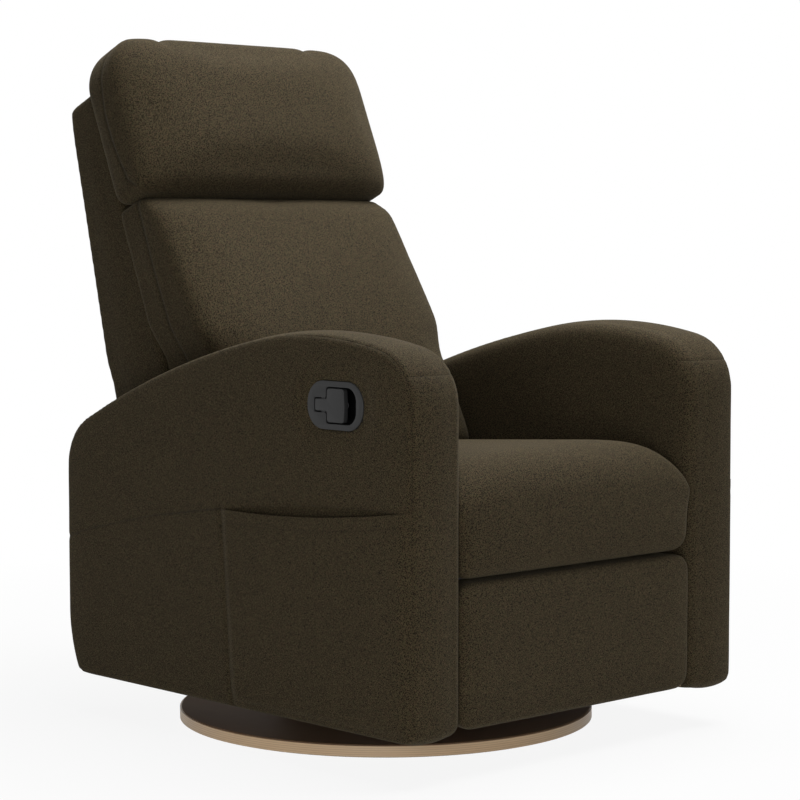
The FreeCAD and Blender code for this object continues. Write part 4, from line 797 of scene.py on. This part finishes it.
def makeBackCushion():
    half = back["half"]
    corners = [(0.0, back["rear"]), (0.0, back["foot"] - back["low"])]
    for step in range(back["bowSteps"] + 1):
        share = step / back["bowSteps"]
        rise = back["low"] + (back["top"] - back["crown"] - back["low"]) * share
        forward = back["foot"] + (back["topDepth"] - back["foot"]) * share
        forward += back["bow"] * 4 * share * (1 - share)
        corners.append((rise, forward))
    corners += [(back["top"], back["topDepth"] - back["crown"]), (back["top"], back["rear"])]
    spots = [leaning(-half, rise, forward) for rise, forward in corners]
    cushion = outlineBody("back_pad", spots, (half * 2, 0, 0))

    def sideEdge(edge):
        if not all(abs(abs(v.co.x) - half) < 1e-4 for v in edge.verts):
            return False
        rise, forward = unlean(np.array([list((edge.verts[0].co + edge.verts[1].co) / 2)]))
        return forward[0] > 0.03 and rise[0] > 0.01

    bevel(cushion, back["sideRound"], 8, sideEdge)
    remeshed(cushion, back["voxel"], 3)
    domed(cushion, back["domeHalf"], back["seam"], back["domePower"])
    spots = points(cushion)
    movePoints(cushion, widened(spots, back["wider"], smoothStep(spots[:, 2], *back["wideFrom"])))
    return puffed(cushion, back["swell"])


padSeam = (0.0014, 0.0040)  # depth and width


def sewAround(cushion, places, top):
    # the seam round a cushion's side and top faces; places are (rise, forward) along the side
    spots = points(cushion)
    rise, forward = unlean(spots)
    facing = heading(0, 1)
    out = np.sqrt(np.clip(1 - (normals(cushion) @ facing) ** 2, 0, 1))
    line = np.interp(rise, [place[0] for place in places], [place[1] for place in places])
    side = smoothStep(out, 0.5, 0.8) * smoothStep(normals(cushion) @ heading(1, 0), -0.55, -0.20)
    sew(cushion, forward - line, side, *padSeam, True)
    if top:  # two darts over the top: where, how far forward they reach, from what height, how deep
        spots = points(cushion)
        across, reach, low, deep = top
        share = smoothStep(rise, low, low + 0.035) * smoothStep(forward, 0.030, 0.060)
        share = share * (1 - smoothStep(forward, reach, reach + 0.03))
        sew(cushion, np.abs(spots[:, 0]) - across, share, deep, 0.012)


pillow = {"half": 0.2675, "low": 0.496, "top": 0.7680, "depth": 0.122, "rear": 0.003,
          "topCorner": 0.079, "lowCorner": 0.022, "frontRound": 0.016, "rearRound": 0.030,
          "domeHalf": 0.2735, "domeBase": 0.050, "domePower": 4.0,
          "domeRise": (0.632, 0.140, 3.6, 4.4),
          "seam": ((0.493, 0.088), (0.525, 0.061), (0.600, 0.051), (0.644, 0.050), (0.700, 0.058),
                   (0.731, 0.065), (0.766, 0.078)),
          "darts": (0.155, 0.095, 0.725, 0.0045), "voxel": 0.005, "swell": 0.016}


def makePillow():
    half = pillow["half"]
    low, high = (pillow["low"], pillow["lowCorner"]), (pillow["top"], pillow["topCorner"])
    loop = roundedLoop([(-half, *low), (half, *low), (half, *high), (-half, *high)])
    start = Vector(leaning(0, 0, pillow["rear"]))
    step = Vector(leaning(0, 0, pillow["depth"])) - start
    cushion = outlineBody("head_pad", [leaning(x, rise, pillow["rear"]) for x, rise in loop], step)

    def at(edge, forward):
        spots = np.array([list(v.co) for v in edge.verts])
        return np.all(np.abs(unlean(spots)[1] - forward) < 1e-4)

    bevel(cushion, pillow["frontRound"], 10, lambda edge: at(edge, pillow["depth"]))
    bevel(cushion, pillow["rearRound"], 6, lambda edge: at(edge, pillow["rear"]))
    remeshed(cushion, pillow["voxel"], 3)
    domed(cushion, pillow["domeHalf"], pillow["domeBase"], pillow["domePower"], pillow["domeRise"])
    applied(cushion, "SMOOTH", factor=0.5, iterations=3)
    return puffed(cushion, pillow["swell"])


shell = {"half": 0.2390, "top": 0.708, "front": 0.003, "rear": -0.069, "low": 0.330,
         "footFront": 0.160, "footRear": 0.355, "topRound": 0.015, "sideRound": 0.006,
         "cornerRound": 0.010, "cornerFrom": 0.94, "sideFrom": 0.34,
         "wider": 0.0060, "wideFrom": (0.505, 0.565), "voxel": 0.005, "swell": 0.004}


def makeShell():
    half = shell["half"]
    outline = [(shell["footFront"], shell["low"]), (shell["footRear"], shell["low"])]
    for forward in (shell["rear"], shell["front"]):
        spot = leaning(0, shell["top"], forward)
        outline.append((spot[1], spot[2]))
    pad = outlineBody("shell_pad", [(-half, y, z) for y, z in outline], (half * 2, 0, 0))

    def across(edge):
        return abs(edge.verts[0].co.x - edge.verts[1].co.x)

    rearTop = outline[2]
    bevel(pad, shell["topRound"], 6, lambda edge: across(edge) > 0.1
          and all(abs(v.co.y - rearTop[0]) < 1e-4 for v in edge.verts))
    bevel(pad, shell["cornerRound"], 6, lambda edge: across(edge) < 1e-4
          and all(v.co.z > shell["cornerFrom"] for v in edge.verts))
    bevel(pad, shell["sideRound"], 3, lambda edge: edge.calc_face_angle(0) > 0.6
          and sum(v.co.z for v in edge.verts) / 2 > shell["sideFrom"])
    remeshed(pad, shell["voxel"], 3)
    spots = points(pad)
    movePoints(pad, widened(spots, shell["wider"], smoothStep(spots[:, 2], *shell["wideFrom"])))
    return puffed(pad, shell["swell"])


foot = {"half": 0.2395, "low": 0.0685, "high": 0.2755, "front": -0.4185, "rear": -0.3745,
        "corner": 0.024, "edge": 0.010, "bulge": 0.006, "bulgeFrom": (0.385, 0.415),
        "voxel": 0.005, "swell": 0.006}


def makeFootPad():
    half = foot["half"]
    low, high = (foot["low"], foot["corner"]), (foot["high"], foot["corner"])
    loop = roundedLoop([(-half, *low), (half, *low), (half, *high), (-half, *high)])
    pad = outlineBody("foot_pad", [(x, foot["rear"], z) for x, z in loop],
                      (0, foot["front"] - foot["rear"], 0))
    bevel(pad, foot["edge"], 6,
          lambda edge: all(abs(v.co.y - foot["front"]) < 1e-4 for v in edge.verts))
    remeshed(pad, foot["voxel"], 3)
    spots = points(pad)
    movePoints(pad, widened(spots, foot["bulge"], smoothStep(-spots[:, 1], *foot["bulgeFrom"])))
    return puffed(pad, foot["swell"])


# The patch pocket on each arm's outer side

pocket = {"front": -0.4185, "mouthFront": -0.410, "rear": -0.013, "rearLow": -0.0365,
          "rearHigh": 0.357, "frontHigh": 0.383, "low": 0.068, "sag": 0.0085, "gape": 0.0095,
          "mouthDrop": 0.030, "mouthDeep": 0.0075, "mouthEdge": 0.004, "mouthEnds": 2.2,
          "foldDeep": 0.0022, "foldFade": 0.020, "fineBelow": 0.02, "fineAbove": 0.014,
          "thick": 0.0026, "edge": 0.0009, "sunk": 0.0022, "out": 0.0016, "bulge": 0.0022,
          "lipOut": 0.0022, "sideFade": 0.045, "footFade": 0.05, "rows": 90, "columns": 110,
          "hem": 0.019, "hemSeam": (0.35, 0.0010, 0.004), "rearSeam": (0.9, 0.0008, 0.004)}


def makePocket(side, panel):
    # panel is the arm's outer side, before its seams are sewn
    sign = sides[side]
    bpy.ops.mesh.primitive_grid_add(x_subdivisions=pocket["columns"], y_subdivisions=pocket["rows"],
                                    size=2)
    patch = bpy.context.object
    patch.name = patch.data.name = "pocket_patch_" + side
    flat = points(patch)
    u = (flat[:, 0] + 1) / 2
    v = (flat[:, 1] + 1) / 2
    rear = pocket["rearLow"] + (pocket["rear"] - pocket["rearLow"]) * v
    y = rear + (pocket["front"] - rear) * u
    lip = mouthLines(y)[0]
    z = pocket["low"] + (lip - pocket["low"]) * v
    edge = smoothStep(np.minimum(u, 1 - u), 0, pocket["sideFade"])
    foot = smoothStep(v, 0, pocket["footFade"])
    swell = pocket["out"] + pocket["bulge"] * np.sin(math.pi * u) * np.sqrt(v)
    swell += pocket["lipOut"] * np.sin(math.pi * u) * v ** 6
    lie = [-panel.ray_cast((-0.5, a, b), (1, 0, 0))[0].x for a, b in zip(y, z)]
    out = np.array(lie) - pocket["sunk"] + (pocket["sunk"] + swell) * edge * foot
    movePoints(patch, np.stack([sign * out, y, z], 1))
    applied(patch, "SOLIDIFY", thickness=pocket["thick"], offset=0)
    applied(patch, "BEVEL", width=pocket["edge"], segments=3, limit_method="ANGLE")
    bpy.ops.object.mode_set(mode="EDIT")
    bpy.ops.mesh.select_all(action="SELECT")
    bpy.ops.mesh.normals_make_consistent(inside=False)
    bpy.ops.object.mode_set(mode="OBJECT")
    spots = points(patch)
    hem = mouthLines(spots[:, 1])[0] - pocket["hem"]
    sew(patch, spots[:, 2] - hem, *pocket["hemSeam"])
    # painted shade and a dark crease line along the patch's rear edge, where it tucks into the
    # arm's valley seam
    sew(patch, toPath(points(patch), armSeams(sign)[1]), *pocket["rearSeam"])
    return dressed(patch, "fabric", "seat_frame", "pocket_panel_" + side, fill=0.2)


# The flush lever in the right arm

lever = {"middle": (-0.2665, 0.5225), "face": 0.345, "bezel": (0.117, 0.0685), "bezelRound": 0.0325,
         "flange": 0.0040, "rim": 0.0013, "cup": (0.106, 0.060), "cupDepth": 0.023,
         "cupRound": 0.027, "cupWall": 0.002, "cupFloor": 0.003, "clothUnder": 0.0016,
         "clothFlat": (0.006, 0.040), "behindCup": 0.005, "pitShadeFrom": (0.002, 0.006),
         "head": (-0.3105, -0.2475, 0.052), "stem": (-0.2225, 0.021), "headRound": 0.019,
         "waistRound": 0.005, "stemRound": 0.0025, "edge": 0.0007, "gap": 0.0021, "swingGap": 0.002,
         "well": 0.026, "wellCorner": 0.004, "bow": 0.0016, "bowRound": 0.08, "paddleThick": 0.0075,
         "paddleEdge": 0.0009, "barrel": 0.0045, "pinAt": -0.2385}


def recess(gap, rearGap, front, corner):
    # the T of the recess, or of the paddle that lies in it
    middle = lever["middle"][1]
    head, stem = lever["head"][2] / 2 - gap, lever["stem"][1] / 2 - gap
    waist, rear = lever["head"][1] - rearGap, lever["stem"][0] - rearGap
    wide, narrow = lever["waistRound"], lever["stemRound"]
    return [(front, middle - head, corner), (front, middle + head, corner),
            (waist, middle + head, wide), (waist, middle + stem, narrow),
            (rear, middle + stem, narrow), (rear, middle - stem, narrow),
            (waist, middle - stem, narrow), (waist, middle - head, wide)]


def makeLever():
    y, z = lever["middle"]
    half, tall = lever["bezel"][0] / 2, lever["bezel"][1] / 2
    turn = lever["bezelRound"]
    loop = roundedLoop([(y - half, z - tall, turn), (y - half, z + tall, turn),
                        (y + half, z + tall, turn), (y + half, z - tall, turn)], 0.002)
    face = -lever["face"]
    bezel = outlineBody("lever_surround", [(face, a, b) for a, b in loop], (lever["flange"], 0, 0))

    def onFace(edge):
        return all(abs(v.co.x - face) < 1e-6 for v in edge.verts)

    bevel(bezel, lever["rim"], 4, onFace)
    pick(bezel)
    bpy.ops.object.mode_set(mode="EDIT")
    choose(bezel, "faces", lambda part: part.normal.x > 0.9)
    bpy.ops.mesh.inset(thickness=half - lever["cup"][0] / 2)
    deep = lever["cupDepth"] - lever["cupWall"]
    bpy.ops.mesh.extrude_region_move(TRANSFORM_OT_translate={"value": (deep, 0, 0)})
    bpy.ops.object.mode_set(mode="OBJECT")
    loop = roundedLoop(recess(0, 0, lever["head"][0], lever["headRound"]), 0.0015)
    over = 0.005  # the cutter stands out of the bezel's face by this
    room = lever["flange"] + deep - lever["cupFloor"] + over
    cutter = outlineBody("recess_cutter", [(face - over, a, b) for a, b in loop], (room, 0, 0))
    applied(bezel, "BOOLEAN", operation="DIFFERENCE", object=cutter, solver="EXACT")
    bpy.data.objects.remove(cutter)
    applied(bezel, "BEVEL", width=lever["edge"], segments=3, limit_method="ANGLE",
            angle_limit=math.radians(50))
    # painted shade: bezel points deep in the pit get the well attribute, which paints them nearly
    # black
    depth = points(bezel)[:, 0] - face
    layer = bezel.data.attributes.new("well", "FLOAT", "POINT")
    layer.data.foreach_set("value", smoothStep(depth, *lever["pitShadeFrom"]).astype(np.float32))
    dressed(bezel, "black_plastic", "seat_frame", "lever_bezel")
    front = lever["head"][0] + lever["well"]
    corners = recess(lever["gap"], lever["swingGap"], front, lever["wellCorner"])
    corners.insert(1, (front - lever["bow"], z, lever["bowRound"]))
    loop = roundedLoop(corners, 0.0015)
    thick = lever["paddleThick"]
    paddle = outlineBody("lever_handle", [(face, a, b) for a, b in loop], (thick, 0, 0))
    bevel(paddle, lever["paddleEdge"], 3, onFace)
    thin = lever["barrel"]
    long = lever["stem"][1] + 0.0006  # hides the pin in the gap
    spot = (face + lever["flange"] + thin / 2, lever["pinAt"], z)
    bpy.ops.mesh.primitive_cylinder_add(vertices=32, radius=thin, depth=long, location=spot)
    barrel = bpy.context.object
    pick(paddle, barrel)
    bpy.ops.object.join()
    dressed(paddle, "black_plastic", "lever", "lever_paddle")
    for thing in (bezel, paddle):
        pick(thing)
        bpy.ops.object.shade_smooth_by_angle(angle=math.radians(40))


arms = {"right": makeArmCover()}
pads = {"seat": makeSeat(), "back": makeBackCushion(), "pillow": makePillow(), "shell": makeShell(),
        "foot": makeFootPad()}
print("pads shaped:", len(pads))
swellAll()
for pad in pads.values():
    applied(pad, "SUBSURF", levels=1, render_levels=1)
arms["left"] = mirrored(arms["right"], "arm_cover_left")
panel = BVHTree.FromPolygons([v.co for v in arms["right"].data.vertices],
                             [part.vertices for part in arms["right"].data.polygons])
for side in sides:
    sewArmCover(arms[side], side)
    makePocket(side, panel)
    makeInnerBoard(side)
makeLever()
sewAround(pads["back"], ((0.0, back["seam"]), (0.5, back["seam"])), None)
sewAround(pads["pillow"], pillow["seam"], pillow["darts"])
dressed(pads["seat"], "fabric", "seat_frame", "seat_cushion", fill=0.8)
dressed(pads["back"], "fabric", "backrest", "back_cushion", fill=0.8)
dressed(pads["pillow"], "fabric", "backrest", "headrest_pillow", fill=0.85)
dressed(pads["shell"], "fabric", "backrest", "back_shell", fill=0.6)
dressed(pads["foot"], "fabric", "footrest", "footrest_pad", fill=0.7)
print("covers sewn")


# The pieces kept from the frame get their finish by slot

slots = {name: thing.data.materials[0].name for name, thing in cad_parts.items()}
for name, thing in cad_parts.items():
    thing.data.materials.clear()
    thing.data.materials.append(finishes[slots[name]])
print("frame dressed:", len(slots))


# Floor, light and camera

stage = {"floor": 30.0, "bounce": 0.7, "haze": 0.90, "clear": (0.7, 1.3), "world": 0.11,
         "aim": (0, 0, 0.6), "lamps": (("topLamp", (0.65, -0.25, 3.2), 2.6, 142),
                                       ("lowLamp", (-2.35, -2.0, 0.35), 1.0, 26))}


def seenOnly(tree):
    # 1 for rays that show the background: straight to the camera, or through a gloss or a glass
    path = tree.nodes.new("ShaderNodeLightPath")
    seen = Value(tree, path.outputs["Is Camera Ray"])
    for name in ("Is Glossy Ray", "Is Transmission Ray"):
        seen = seen.highest(Value(tree, path.outputs[name]))
    return seen


def makeStage():
    bpy.ops.mesh.primitive_plane_add(size=stage["floor"])
    floor = bpy.context.object
    floor.name = "floor"
    pale = Finish("paleFloor")
    plain = pale.set(Base_Color=(stage["bounce"],) * 3, Roughness=1.0, Specular_IOR_Level=0.0)
    tree = pale.tree
    glow = pale.node("Emission", {}, {"Color": (1, 1, 1, 1), "Strength": 1.0})
    away = pale.node("VectorMath", {"operation": "LENGTH"}, {0: pale.node("TexCoord", output=3)},
                     output=1)
    near, reach = stage["clear"]  # the shadow fades out between near and near + reach
    share = ((away - near) / reach).clamped() * (1 - stage["haze"]) + stage["haze"]
    lit = Value(tree, pale.shader.outputs[0])
    both = pale.node("MixShader", {}, {0: seenOnly(tree) * share, 1: lit, 2: glow})
    tree.links.new(both.socket, tree.nodes["Material Output"].inputs["Surface"])
    floor.data.materials.append(plain)
    world = bpy.context.scene.world or bpy.data.worlds.new("studio")
    bpy.context.scene.world = world
    world.use_nodes = True
    tree = world.node_tree
    sky = tree.nodes["Background"]
    level = seenOnly(tree) * (1 - stage["world"]) + stage["world"]
    sky.inputs["Color"].default_value = (1, 1, 1, 1)
    tree.links.new(level.socket, sky.inputs["Strength"])
    for name, spot, size, power in stage["lamps"]:
        lamp = bpy.data.lights.new(name, "AREA")
        lamp.size = size
        lamp.energy = power
        made = bpy.data.objects.new(name, lamp)
        bpy.context.collection.objects.link(made)
        made.location = spot
        aim = Vector(stage["aim"]) - Vector(spot)
        made.rotation_euler = aim.to_track_quat("-Z", "Y").to_euler()


view = {"place": (-2.55705, -2.75483, 0.76393), "forward": (0.68296, 0.72710, -0.06994),
        "lens": 107.5}


def makeCamera():
    camera = bpy.data.objects.new("camera", bpy.data.cameras.new("camera"))
    bpy.context.collection.objects.link(camera)
    camera.location = view["place"]
    camera.rotation_euler = Vector(view["forward"]).to_track_quat("-Z", "Y").to_euler()
    camera.data.lens = view["lens"]
    camera.data.sensor_width = 36
    camera.data.clip_start = 0.1
    camera.data.clip_end = 50
    bpy.context.scene.camera = camera


makeStage()
makeCamera()
bpy.context.scene.view_settings.view_transform = "Standard"
print("scene complete")
